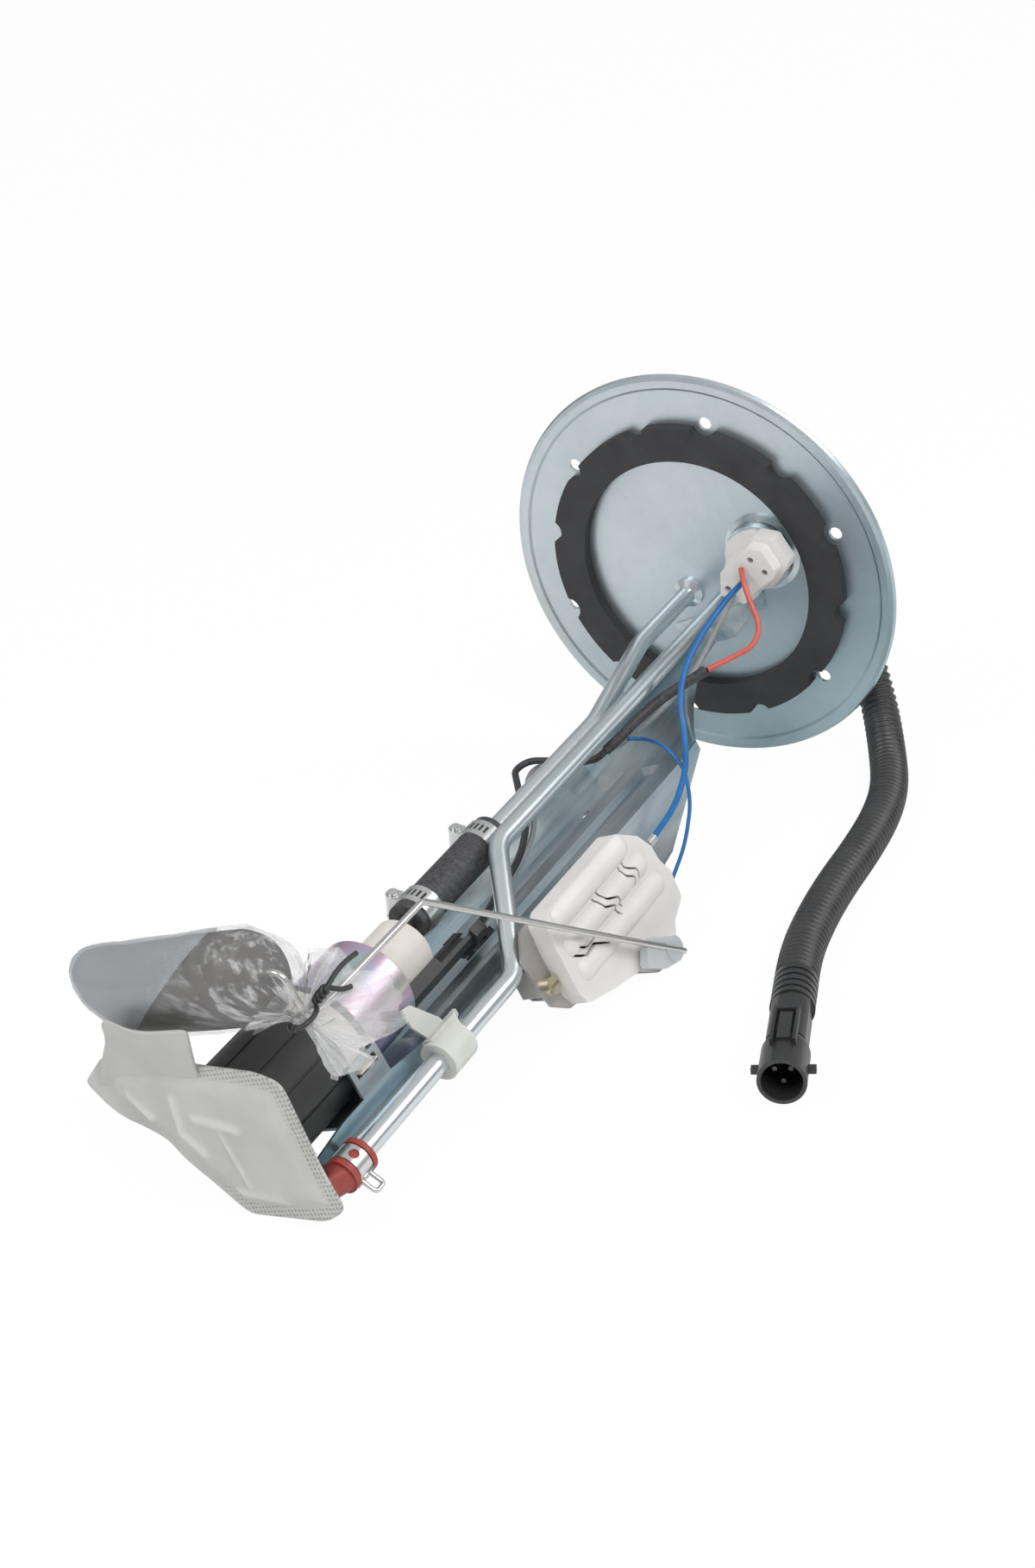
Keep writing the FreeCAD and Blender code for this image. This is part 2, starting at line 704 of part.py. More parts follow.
def duckbill_valve():
    x0 = lower_end - 6
    x1 = x0 + 12.4
    profile = [
        (x0, line_radius + fit_gap), (x0, 6.9), (x0 + 2.2, 6.9), (x0 + 2.2, 5.9), (x0 + 10, 5.9),
        (x0 + 10, 6.8), (x1, 6.8), (x1, 3.0), (lower_end + seat_gap, 3.0),
        (lower_end + seat_gap, line_radius + fit_gap),
    ]
    body = turned(profile, lower_y, lower_z)
    bill = Part.makeLoft([
        Part.Wire(Part.makeCircle(5.8, V(x1, lower_y, lower_z), V(1, 0, 0))),
        Part.Wire(Part.Ellipse(V(x1 + 10, lower_y + 6.4, lower_z), V(x1 + 10, lower_y, lower_z + 0.9),
                               V(x1 + 10, lower_y, lower_z)).toShape()),
    ], True, True)
    return body.fuse(about_x(bill, 55, lower_y, lower_z))


def valve_clamp():
    """Metal band round the valve, with an oval window and a pinched ear."""
    x0 = lower_end - 3.3
    x1 = x0 + 6.8
    band = ring(x0, x1, lower_y, lower_z, 6.7, 5.95)
    window = rod_y(lower_y + 2, lower_y + 9, (x0 + x1) / 2, lower_z, 1.9)
    band = band.cut(about_x(window, 45, lower_y, lower_z))
    ear = box(x0 + 0.4, x1 - 0.4, lower_y - 3.6, lower_y + 3.6, lower_z - 12.4, lower_z - 5.4)
    ear = ear.cut(box(x0, x1, lower_y - 2.3, lower_y + 2.3, lower_z - 11.2, lower_z - 6.6))
    ear = ear.cut(rod(x0, x1, lower_y, lower_z, 5.95))
    return band.fuse(about_x(ear, 38, lower_y, lower_z))


# Pickup sock

def tilted(shape):
    turned_shape = shape.copy()
    turned_shape.rotate(V(sock_x, pump_y, pump_z), V(0, 1, 0), -sock_tilt)
    return turned_shape


sock_outline = [
    (-50.4, 28.7), (-38, 38), (-10, 38.5), (7.6, 32.1), (35, 26.9), (44.6, 22), (45.4, -11.1), (47.5, -25.5),
    (37, -29), (2.2, -24.8), (-4.2, -17.5), (-21.4, 3), (-37.6, 15.8),
]
flap_outline = [
    (-46, -1), (-19, 22.3), (-8.5, 39.7), (-4, 45), (34, 42), (26, 30), (18.2, 16.5), (9, 2), (6, -4),
    (-40, -6),
]


def pickup_sock():
    """Flat closed sock with a thick middle, a thin welded hem and a loose flap on one side."""
    points = [(pump_y + y, pump_z + z) for y, z in sock_outline]
    hem = prism_x(points, sock_x - 0.6, sock_x + 0.6, 2.5)
    small = [(pump_y + y * 0.84 + 1, pump_z + z * 0.76 + 1) for y, z in sock_outline]
    bulge = prism_x(small, sock_x - sock_half, sock_x + sock_half, 2.0)
    flat = [(pump_y + y, pump_z + 27 + z) for y, z in flap_outline]
    flap = prism_x(flat, sock_x - 0.6, sock_x + 0.6, 2.0)
    flap.rotate(V(sock_x, pump_y, pump_z + 27), V(0, 1, 0), flap_lean + sock_tilt)
    sock = tilted(hem.fuse([bulge, flap]))
    return sock.cut(rod(sock_x - 12, sock_x + 1, pump_y, pump_z, neck_radius + 0.3))


def sock_neck():
    """Push-on ring that carries the sock on the pump inlet."""
    return ring(sleeve_end + 0.3, sock_x + 0.2, pump_y, pump_z, neck_radius, 4.5 + fit_gap)


# Level sender

sender_outline = [
    (184.5, -30), (236.2, -29.8), (241.5, -32.5), (242.6, -45), (242.7, -63.6), (240.5, -69),
    (224.9, -73.8), (207.6, -77.9), (199, -85), (188, -86.5), (181, -82), (176.5, -76), (166.6, -71.5),
    (165.1, -59.9), (168.4, -52.5), (168.8, -45.8), (173.4, -38.1),
]
sender_ridges = [(-35.4, 186.0, 233.0), (-46.8, 180.0, 234.0), (-58.4, 176.0, 233.0)]
sender_slits = [(188.6, -38.7, -3.0, -11.3), (209.9, -39.1, -10.0, -14.0), (233.1, -49.0, -18.6, -7.2)]


def sender_plate():
    y0 = sender_back - sheet
    plate = prism_y([
        (253, -41), (246, -31.5), (200, -31.5), (176, -42), (172, -68), (232, -71), (242, -69.5),
        (250.6, -62.4),
    ], y0, sender_back, 2.0)
    flange = box(250.8 - sheet, 250.8, web_right + sheet, sender_back - 0.4, -58, -46)
    front = box(178, 190, web_right + sheet, y0 + 0.2, -58, -56.8)
    plate = plate.fuse([flange, front])
    plate = plate.cut(rod_y(y0 - 1, sender_back + 1, screw_x, screw_z, 2.0))
    return plate.cut(rod_y(y0 - 1, sender_back + 1, pivot_x, pivot_z, post_radius + 1))


def sender_ridge(z, x0, x1):
    """Rounded rib that stands 1 mm proud of the cover and fades out in round ends."""
    radius = 5.8
    y = sender_face + 1 - radius
    bar = rod(x0, x1, y, z, radius)
    bar = bar.fuse([Part.makeSphere(radius, V(x0, y, z)), Part.makeSphere(radius, V(x1, y, z))])
    return bar.common(box(150, 260, sender_face - 2.5, sender_face + 2, z - 10, z + 10))


def sender_housing():
    body = prism_y(sender_outline, sender_back, sender_face - 1.5, 2.5)
    body = body.fuse([sender_ridge(*ridge) for ridge in sender_ridges])
    inner = [(186, -33), (234, -33), (238.6, -36), (239.6, -45), (239.8, -63), (236, -67), (222, -70.5),
             (206, -73.6), (180, -71.5), (170.5, -68.5), (168.4, -60), (171.6, -52), (172, -46),
             (176.6, -39.6)]
    body = body.cut(prism_y(inner, sender_back - 1, sender_face - 1.5 - sender_skin, 2.0))
    for x, z, run, drop in sender_slits:
        for shift in (0.0, 3.2):
            body = body.cut(s_slot(x + shift, z - shift * 0.5, run, drop))
    hub = rod_y(sender_back, sender_face, pivot_x, pivot_z, 5.0)
    body = body.fuse(hub)
    body = body.cut(rod_y(sender_back - 1, sender_back + 3.5, pivot_x, pivot_z, 4.0))
    sweep = [(pivot_x - 3, pivot_z), (pivot_x - 8, pivot_z + 9.5), (pivot_x + 12, pivot_z + 9.5),
             (pivot_x + 6, pivot_z + 0.5)]
    body = body.cut(prism_y(sweep, sender_back - 1, sender_back + 3.5))
    body = body.cut(box(160, 182, sender_back + 3.7, sender_back + 5.3, -50.4, -44.2))
    return body.cut(rod_y(sender_back - 1, sender_face + 1, pivot_x, pivot_z, post_radius + fit_gap))


def s_slot(x, z, run, drop):
    """S-shaped snap opening through the front skin, from one end by its run and drop."""
    y = sender_face - 5
    start = V(x, y, z)
    line = V(run, 0, drop)
    side = unit(line).cross(V(0, 1, 0))
    points = [start, start + line * 0.34 + side * 1.5, start + line * 0.66 - side * 1.5, start + line]
    way = path(points, [1.6, 1.6])
    turn = unit(points[1] - points[0]).cross(V(0, 1, 0)) * 0.45
    lift = V(0, 8, 0)
    section = Part.makePolygon([
        start + turn, start - turn, start - turn + lift, start + turn + lift, start + turn,
    ])
    return way.makePipeShell([section], True, False)


def sender_screw():
    head = rod_y(sender_back, sender_back + 2.6, screw_x, screw_z, 3.8)
    head = head.cut(box(screw_x - 5, screw_x + 5, sender_back + 1.6, sender_back + 4,
                        screw_z - 0.6, screw_z + 0.6))
    return head.fuse(rod_y(sender_back - 8, sender_back, screw_x, screw_z, 1.95))


def resistor_card():
    return prism_y([(237, -40), (204, -38), (186, -46), (182, -66), (222, -66)], sender_back + 0.3,
                   sender_back + 1.3)


def sender_terminal():
    tab = prism_y([(165, -45), (181, -45), (181, -49.5), (165, -48)], sender_back + 4.0,
                  sender_back + 5.0)
    crimp = Part.makeCylinder(1.9, 5, V(160.8, sender_back + 4.5, -46.5), V(1, 0, 0))
    return tab.fuse(crimp)


def sender_rotor():
    """Translucent arm carrier: a hub that turns on its post and a short wing that grips the wire."""
    post = rod_y(sender_back + 1.0, sender_face + 0.3, pivot_x, pivot_z, post_radius)
    hub = rod_y(sender_face + 0.3, arm_y + 1.0, pivot_x, pivot_z, 5.2)
    wing = prism_y([
        (pivot_x - 5.5, pivot_z + 1.5), (pivot_x + 7, pivot_z + 10.5), (pivot_x + 13, pivot_z + 10),
        (pivot_x + 18.5, pivot_z + 4), (pivot_x + 9, pivot_z - 3), (pivot_x - 1.5, pivot_z - 6),
    ], sender_face + 1.4, arm_y + 0.4, 1.6)
    body = post.fuse([hub, wing])
    channel = Part.makeCylinder(wire_radius + fit_gap, 70, V(pivot_x, arm_y, pivot_z) - arm_heading() * 12,
                                arm_heading())
    return body.cut(channel)


def sender_wiper():
    """Spring strip that sweeps the card inside the housing."""
    strip = prism_y([(pivot_x + 1.0, pivot_z + 3.2), (pivot_x + 16.5, pivot_z + 20.5),
                     (pivot_x + 18.5, pivot_z + 18.5), (pivot_x + 3.2, pivot_z + 1.2)],
                    sender_back + 2.0, sender_back + 2.5)
    eye = rod_y(sender_back + 2.0, sender_back + 2.5, pivot_x, pivot_z, 3.6)
    eye = eye.cut(rod_y(sender_back, sender_back + 5, pivot_x, pivot_z, post_radius))
    return strip.fuse(eye)


def arm_heading():
    return unit(V(elbow_x - pivot_x, 0, elbow_z - pivot_z))


def arm_points():
    start = V(pivot_x, arm_y, pivot_z) - arm_heading() * 7
    return [
        start, V(elbow_x, arm_y, elbow_z), V(arm_end_x, arm_y, elbow_z + 0.4),
        V(arm_end_x, arm_y, float_z), V(arm_end_x, float_far - 4, float_z),
    ]


def float_wire():
    return tube(arm_points(), wire_radius, [4.0, 4.0, 4.0])


def float_body():
    profile = [
        (float_far, 0), (float_far, float_radius - 1), (float_far + 1, float_radius),
        (float_near - 1, float_radius), (float_near, float_radius - 1), (float_near, 0),
    ]
    body = turned_y(profile, arm_end_x, float_z)
    return body.cut(rod_y(float_far - 1, float_near + 1, arm_end_x, float_z, float_bore))


def push_nut():
    nut = rod_y(float_far - 1.0, float_far, arm_end_x, float_z, 4.5)
    return nut.cut(rod_y(float_far - 2, float_far + 1, arm_end_x, float_z, float_bore))


def bag_volume(film):
    """Space inside the film bag: the pouch round the float, its tied neck and its skirt."""
    body = turned_y([
        (-45 + film, 0), (-45 + film, 8 - film), (-39, 13 - film), (-24, bag_radius - film),
        (48, bag_radius - film), (58 - film, 6 - film), (58 - film, 0),
    ], arm_end_x, float_z)
    neck = Part.makeCylinder(bag_neck - film, 14.5, V(arm_end_x, arm_y, float_z - 22.5), V(0, 0, 1))
    top = V(arm_end_x, arm_y, float_z - 21.5)
    heading = unit(V(-0.62, 0.03, -0.72))
    skirt = Part.makeCone(bag_neck + 0.6 - film, 12.5 - film, 27 + film, top, heading)
    return body.fuse([neck, skirt])


def float_bag():
    bag = bag_volume(0.0).cut(bag_volume(bag_film))
    return bag.cut(tube(arm_points(), wire_radius + 0.3, [4.0, 4.0, 4.0]))


def twist_tie():
    """Wire tie wound once round the neck of the bag, with its ends twisted together."""
    level = float_z - 17.2
    centre = V(arm_end_x, arm_y, level)
    loop = Part.makeTorus(bag_neck + tie_radius, tie_radius, centre, V(0, 0, 1))
    start = centre + V(-bag_neck - tie_radius, 0, 0)
    fork = V(350, arm_y + 0.6, level + 2)
    low = V(341.5, arm_y + 2.6, level - 3.5)
    ends = [
        cord([start, V(355, arm_y + 0.5, level), fork, V(333, arm_y + 1, level + 1)],
             tie_radius),
        cord([fork, V(346, arm_y + 1.6, level - 0.5), low], tie_radius),
    ]
    return loop.fuse(ends)


# Wires

wire_routes = {
    "wire_blue": (1.3, [(25.5, 38, -1), (39, 36.5, -1.5), (60, 33.5, -5), (80, 31.5, -11),
                        (93, 31.5, -19), (103, 33.5, -31), (116, 37, -40), (137, 41, -45.5),
                        (160.5, 42.5, -46.5)]),
    "wire_red": (1.2, [(26.4, 40, 5), (31, 41.5, 1), (36, 43.5, -8), (40, 46, -17), (49, 45, -22),
                       (61, 39, -20.5), (71.4, 34.2, -18.67)]),
    "wire_sleeve": (2.2, [(72, 34, -18.5), (80, 25, -19.5), (88, 14.5, -21.3), (98, 9, -23),
                          (106, 5, -25), (113, -0.5, -27)]),
    "wire_pump": (1.5, [(113, -0.5, -27), (117, -3.65, -28.15), (118.5, -15, -27.5),
                        (117, -27, -24.5), (118, -37.5, -22), (126, -40, -21.5),
                        (140, -30, -24.5), (161, -15, -31), (184, -6, -34.5),
                        (208, -2, -35), (226, 6.5, -32.8), (242.6, 11.9, -31.3)]),
    "wire_ground": (1.2, [(25.8, 30, -6), (38, 25, -13), (55, 19, -22), (75, 8, -30),
                          (94, -6, -34), (105, -19, -32), (110, -31, -28.5), (117, -38, -26.5),
                          (128, -35, -27), (141, -25.5, -30), (160, -13.5, -35), (184, -9.5, -38.5),
                          (208, -6, -38.5), (226, 3.6, -36), (242.6, 8.4, -34)]),
    "wire_sender": (0.8, [(104.5, 5.9, -27.4), (103, 12, -29.5), (106.5, 20.5, -30.5), (110.5, 28.5, -33.5),
                          (114.3, 34.3, -41.8), (125, 38, -52), (143, 40.5, -61), (165.4, 43, -66)]),
}


def wire(name):
    radius, points = wire_routes[name]
    return cord([V(*p) for p in points], radius)


# Harness tail, drawn where it lies on the table

def harness_conduit():
    points = [V(*p) for p in conduit_route]
    solid = cord(points, conduit_radius)
    length = solid.Volume / (math.pi * conduit_radius ** 2)
    print("conduit length", round(length, 1), "radii", [round(r, 1) for r in cord_radii(points)])
    return solid


def along(start, heading, x0, x1, radius, end_radius=None):
    foot = start + heading * x0
    if end_radius is None:
        return Part.makeCylinder(radius, x1 - x0, foot, heading)
    return Part.makeCone(radius, end_radius, x1 - x0, foot, heading)


def connector_frame():
    start = V(*conduit_route[-1])
    heading = unit(start - V(*conduit_route[-2]))
    side = unit(V(0, 0, 1).cross(heading))
    up = heading.cross(side)
    return start, heading, side, up


def block_on(x0, x1, s0, s1, u0, u1):
    """Box in the connector's own directions."""
    start, heading, side, up = connector_frame()
    corner_points = [
        start + heading * x0 + side * s + up * u for s, u in ((s0, u0), (s1, u0), (s1, u1), (s0, u1))
    ]
    face = Part.Face(Part.makePolygon(corner_points + [corner_points[0]]))
    return face.extrude(heading * (x1 - x0))


def connector_boot():
    """Bellows at the conduit's end."""
    start, heading, side, up = connector_frame()
    boot = along(start, heading, 0, 24, conduit_radius - 0.8)
    for i in range(5):
        boot = boot.fuse(along(start, heading, 1.5 + 4.5 * i, 4.5 + 4.5 * i, conduit_radius))
    return boot


def harness_connector():
    """Round locking connector: slim body, flared mouth, two ears and a looped lock tab."""
    start, heading, side, up = connector_frame()
    body = block_on(24, 52, -6.9, 6.9, -6.6, 7.4)
    body = body.common(along(start, heading, 24, 52, 8.4))
    flare = along(start, heading, 48, 55, 7.2, mouth_radius)
    mouth = along(start, heading, 55, connector_length, mouth_radius)
    bore = along(start, heading, 56, connector_length + 1, mouth_radius - 1.4)
    ears = [block_on(64, 67, -mouth_radius - 2.6, mouth_radius + 2.6, -1.1, 1.1)]
    rails = [block_on(38, 62, -4.6, -3.4, 6.4, 10.2), block_on(38, 62, 3.4, 4.6, 6.4, 10.2)]
    bar = block_on(38, 40, -4.6, 4.6, 6.4, 10.2)
    tab = block_on(41.5, 60, -2.3, 2.3, 6.4, 9.6)
    body = body.fuse([flare, mouth] + ears + rails + [bar, tab]).cut(bore)
    return body.removeSplitter()


def connector_pins():
    start, heading, side, up = connector_frame()
    pins = []
    for s, u in ((-2.8, 1.8), (2.8, 1.8), (0, -3.0)):
        pins.append(along(start + side * s + up * u, heading, 56, 68, 0.9))
    return Part.makeCompound(pins)


def lay(shape):
    """Turn a piece from the module's own frame to the way the module lies."""
    placed = shape.copy()
    placed.rotate(V(0, 0, 0), V(1, 0, 0), lie_roll)
    placed.rotate(V(0, 0, 0), V(0, 1, 0), lie_pitch)
    return placed


def module_pieces():
    clamps = clamp_place()
    pieces = {
        "flange_plate": flange_plate(),
        "flange_gasket": flange_gasket(),
        "connector_cup": connector_cup(),
        "bulkhead_connector": bulkhead_connector(),
        "feed_pins": feed_pins(),
        "supply_line": supply_line(),
        "return_line": return_line(),
        "outlet_hose": outlet_hose(),
        "hose_clamp_upper": hose_clamp(clamps[0]),
        "hose_clamp_lower": hose_clamp(clamps[1]),
        "clamp_screws": Part.makeCompound([clamp_screw(x) for x in clamps]),
        "bracket": bracket(),
        "pump_can": pump_can(),
        "pump_cap": pump_cap(),
        "pump_outlet": pump_outlet(),
        "check_ball": check_ball(),
        "pump_bearings": pump_bearings(),
        "rotor_shaft": rotor_shaft(),
        "armature": armature(),
        "pump_magnets": pump_magnets(),
        "impeller": impeller(),
        "pump_volute": pump_volute(),
        "pump_inlet": pump_inlet(),
        "pump_sleeve": pump_sleeve(),
        "pump_plug": pump_terminal_plug(),
        "pump_strap": pump_strap(),
        "line_clip": line_clip(),
        "duckbill_valve": duckbill_valve(),
        "valve_clamp": valve_clamp(),
        "pickup_sock": pickup_sock(),
        "sock_neck": sock_neck(),
        "sender_plate": sender_plate(),
        "sender_housing": sender_housing(),
        "sender_screw": sender_screw(),
        "resistor_card": resistor_card(),
        "sender_terminal": sender_terminal(),
        "sender_rotor": sender_rotor(),
        "sender_wiper": sender_wiper(),
        "float_wire": float_wire(),
        "float_body": float_body(),
        "push_nut": push_nut(),
        "float_bag": float_bag(),
        "twist_tie": twist_tie(),
    }
    for name in wire_routes:
        pieces[name] = wire(name)
    laid = {name: lay(shape) for name, shape in pieces.items()}
    laid["harness_plug"] = lay(harness_plug()).fuse(plug_outlet()).cut(
        lay(rod(-cup_out, 20, cup_y, cup_z, cup_outer + 0.1)))
    laid["harness_conduit"] = harness_conduit()
    laid["connector_boot"] = connector_boot()
    laid["harness_connector"] = harness_connector()
    laid["connector_pins"] = connector_pins()
    return laid


os.makedirs("parts", exist_ok=True)
for node, solid in module_pieces().items():
    solid.exportStep("parts/" + node + ".step")
    print(node, "valid", solid.isValid(), "solids", len(solid.Solids), "volume", round(solid.Volume))
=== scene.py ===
import math

import bmesh
import bpy
from mathutils import Matrix, Vector, noise


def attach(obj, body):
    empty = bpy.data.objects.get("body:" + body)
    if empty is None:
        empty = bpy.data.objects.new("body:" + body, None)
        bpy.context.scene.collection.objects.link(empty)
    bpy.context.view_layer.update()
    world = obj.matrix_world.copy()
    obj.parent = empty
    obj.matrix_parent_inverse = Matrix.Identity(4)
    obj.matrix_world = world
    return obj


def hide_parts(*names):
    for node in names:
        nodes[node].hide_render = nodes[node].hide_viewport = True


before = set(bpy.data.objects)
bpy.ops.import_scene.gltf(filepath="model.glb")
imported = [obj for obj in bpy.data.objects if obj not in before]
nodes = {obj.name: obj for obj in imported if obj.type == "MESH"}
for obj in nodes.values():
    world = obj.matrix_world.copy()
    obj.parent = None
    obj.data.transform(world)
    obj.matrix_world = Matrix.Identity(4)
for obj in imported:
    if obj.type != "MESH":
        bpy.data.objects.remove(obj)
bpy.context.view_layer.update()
mm = 0.001

# The module's own frame: x from the flange to the pump, y to the level sender, z away from the web.
# It lies rolled and pitched on the table, as in the CAD.
lie = {"roll": 18.22, "pitch": 7.92, "table": -93.1}
layTurn = (Matrix.Rotation(math.radians(lie["pitch"]), 4, "Y")
           @ Matrix.Rotation(math.radians(lie["roll"]), 4, "X"))
layTurnBack = layTurn.inverted()


def laid(x, y, z):
    # Point of the module's own frame, in mm, to metres on the table.
    return layTurn @ (Vector((x, y, z)) * mm)


def laidWay(x, y, z):
    # Direction of the module's own frame, turned as it lies on the table.
    return (layTurn.to_3x3() @ Vector((x, y, z))).normalized()


def held(value):
    # Value kept between 0 and 1.
    return min(1.0, max(0.0, value))


def eased(value):
    # Smooth step from 0 to 1.
    return value * value * (3 - 2 * value)


def link(name, data):
    piece = bpy.data.objects.new(name, data)
    bpy.context.scene.collection.objects.link(piece)
    return piece


def meshPiece(bm, name):
    # The finished bmesh as a smooth piece at the origin.
    mesh = bpy.data.meshes.new(name)
    bm.to_mesh(mesh)
    bm.free()
    mesh.shade_smooth()
    return link(name, mesh)


# Camera at the photograph's angle

cameraSet = {
    "place": (0.83770, 0.46954, 0.33124), "focal": 2600.0, "height": 1818.0, "sensor": 36.0,
    "near": 0.05, "far": 60.0,
    "right": (-0.52210744, 0.84400585, -0.12271081),
    "up": (-0.40604336, -0.11945498, 0.90601285),
    "back": (0.75002174, 0.52286197, 0.4050713),
}


def makeCamera():
    data = bpy.data.cameras.new("camera")
    data.sensor_width = cameraSet["sensor"]
    data.lens = cameraSet["sensor"] * cameraSet["focal"] / cameraSet["height"]
    data.clip_start, data.clip_end = cameraSet["near"], cameraSet["far"]
    cam = link("camera", data)
    turn = Matrix((cameraSet["right"], cameraSet["up"], cameraSet["back"])).transposed()
    cam.matrix_world = Matrix.Translation(cameraSet["place"]) @ turn.to_4x4()
    bpy.context.scene.camera = cam
    print("camera set")


# Lines and tubes

lineSet = {"order": 3, "resolution": 24, "firstSide": (0.3, 0.2, 1.0), "seam": 1e-6}


def nurbsLine(points):
    # Points along the smooth line of a route, read from its NURBS spline.
    data = bpy.data.curves.new("route", "CURVE")
    data.dimensions = "3D"
    spline = data.splines.new("NURBS")
    spline.points.add(len(points) - 1)
    for knot, p in zip(spline.points, points):
        knot.co = (*p, 1.0)
    spline.order_u = lineSet["order"]
    spline.use_endpoint_u = True
    data.resolution_u = lineSet["resolution"]
    holder = link("route", data)
    bpy.context.view_layer.update()
    mesh = bpy.data.meshes.new_from_object(holder)
    line = [v.co.copy() for v in mesh.vertices]
    bpy.data.objects.remove(holder)
    bpy.data.meshes.remove(mesh)
    return line


def evenLine(line, step):
    # The same line with its points a fixed step apart, and its length.
    lengths = [0.0]
    for a, b in zip(line, line[1:]):
        lengths.append(lengths[-1] + (b - a).length)
    count = max(2, round(lengths[-1] / step))
    out, k = [], 0
    for i in range(count + 1):
        s = lengths[-1] * i / count
        while k < len(lengths) - 2 and lengths[k + 1] < s:
            k += 1
        gap = max(lengths[k + 1] - lengths[k], 1e-12)
        out.append(line[k].lerp(line[k + 1], (s - lengths[k]) / gap))
    return out, lengths[-1]


def tube(bm, steps, sides, place, capped=True):
    # Grid rolled into a tube: place gives vertex k of ring i its spot, then the seam is merged.
    grid = bmesh.ops.create_grid(bm, x_segments=sides, y_segments=steps, size=1.0)["verts"]
    seam = []
    for v in grid:
        k, i = round((v.co.x + 1) / 2 * sides), round((v.co.y + 1) / 2 * steps)
        v.co = place(i, k % sides)
        if k in (0, sides):
            seam.append(v)
    bmesh.ops.remove_doubles(bm, verts=seam, dist=lineSet["seam"])
    verts = [v for v in grid if v.is_valid]
    caps = []
    if capped:
        ends = {e for v in verts for e in v.link_edges if e.is_boundary}
        caps = bmesh.ops.holes_fill(bm, edges=list(ends))["faces"]
        faces = {f for v in verts for f in v.link_faces}
        bmesh.ops.recalc_face_normals(bm, faces=list(faces))
    return caps


def sweep(bm, line, radii, sides):
    # Closed tube along a line, with its rings turned as little as the line allows.
    side = (line[1] - line[0]).cross(Vector(lineSet["firstSide"])).normalized()
    rings = []
    for i, p in enumerate(line):
        way = (line[min(i + 1, len(line) - 1)] - line[max(i - 1, 0)]).normalized()
        side = (side - way * side.dot(way)).normalized()
        rings.append((p, side * radii[i], way.cross(side) * radii[i]))

    def place(i, k):
        p, across, lift = rings[i]
        a = 2 * math.pi * k / sides
        return p + across * math.cos(a) + lift * math.sin(a)

    tube(bm, len(line) - 1, sides, place)


# Corrugated conduit of the harness tail

conduitSet = {
    "route": [(-20, 45.5, -5), (-26, 54, -26), (-33, 63, -47), (-26, 72, -69), (-5, 84, -82.5),
              (22, 96.5, -84.8), (50, 104.5, -84.8), (82, 109.5, -84.8), (114, 112.5, -84.8),
              (143, 117, -84.8), (171, 123.5, -84.8), (190, 131, -84.05)],
    "radius": 8.3, "groove": 0.95, "pitch": 3.4, "rib": (0, 0.55, 1, 1, 0.55, 0), "sides": 40,
}


def makeConduit():
    route = [Vector(p) * mm for p in conduitSet["route"]]
    rib = conduitSet["rib"]
    line, length = evenLine(nurbsLine(route), conduitSet["pitch"] * mm / len(rib))
    low = conduitSet["radius"] - conduitSet["groove"]
    radii = [(low + conduitSet["groove"] * rib[i % len(rib)]) * mm for i in range(len(line))]
    bm = bmesh.new()
    sweep(bm, line, radii, conduitSet["sides"])
    piece = meshPiece(bm, "harness_conduit_ribbed")
    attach(piece, "frame")
    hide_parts("harness_conduit")
    print("conduit", round(length, 4))
    return piece


makeCamera()
conduit = makeConduit()


# Material helpers

def nodeTree(name):
    material = bpy.data.materials.new(name)
    material.use_nodes = True
    tree = material.node_tree
    return material, tree, tree.nodes["Principled BSDF"]


def feed(tree, socket, value):
    # A number or a colour goes on the socket itself, and a node's output is linked to it.
    if isinstance(value, (int, float)):
        socket.default_value = value
    elif isinstance(value, tuple):
        socket.default_value = (*value, 1.0)
    else:
        tree.links.new(value, socket)


def setSockets(shader, values):
    for name, value in values.items():
        shader.inputs[name].default_value = value


def objectCoords(tree, scale=(1, 1, 1), turn=None):
    # Object coordinates, turned into the module's own frame where asked.
    coords = tree.nodes.new("ShaderNodeTexCoord").outputs["Object"]
    if turn is not None:
        back = tree.nodes.new("ShaderNodeMapping")
        back.inputs["Rotation"].default_value = turn.to_euler("XYZ")
        tree.links.new(coords, back.inputs["Vector"])
        coords = back.outputs["Vector"]
    mapping = tree.nodes.new("ShaderNodeMapping")
    mapping.inputs["Scale"].default_value = scale
    tree.links.new(coords, mapping.inputs["Vector"])
    return mapping.outputs["Vector"]


def noiseField(tree, vector, scale, detail=4.0, roughness=0.55):
    field = tree.nodes.new("ShaderNodeTexNoise")
    setSockets(field, {"Scale": scale, "Detail": detail, "Roughness": roughness})
    tree.links.new(vector, field.inputs["Vector"])
    return field.outputs["Fac"]


def ramp(tree, factor, stops):
    node = tree.nodes.new("ShaderNodeValToRGB")
    while len(node.color_ramp.elements) < len(stops):
        node.color_ramp.elements.new(0.5)
    for element, (at, colour) in zip(node.color_ramp.elements, stops):
        element.position = at
        element.color = (*colour, 1.0)
    tree.links.new(factor, node.inputs["Fac"])
    return node.outputs["Color"]


def mapped(tree, source, start=(0.0, 1.0), end=(0.0, 1.0)):
    # Map Range from start to end, held at its ends.
    node = tree.nodes.new("ShaderNodeMapRange")
    setSockets(node, {"From Min": start[0], "From Max": start[1],
                      "To Min": end[0], "To Max": end[1]})
    tree.links.new(source, node.inputs["Value"])
    return node.outputs["Result"]


def mathStep(tree, way, a, b):
    node = tree.nodes.new("ShaderNodeMath")
    node.operation = way
    feed(tree, node.inputs[0], a)
    feed(tree, node.inputs[1], b)
    return node.outputs[0]


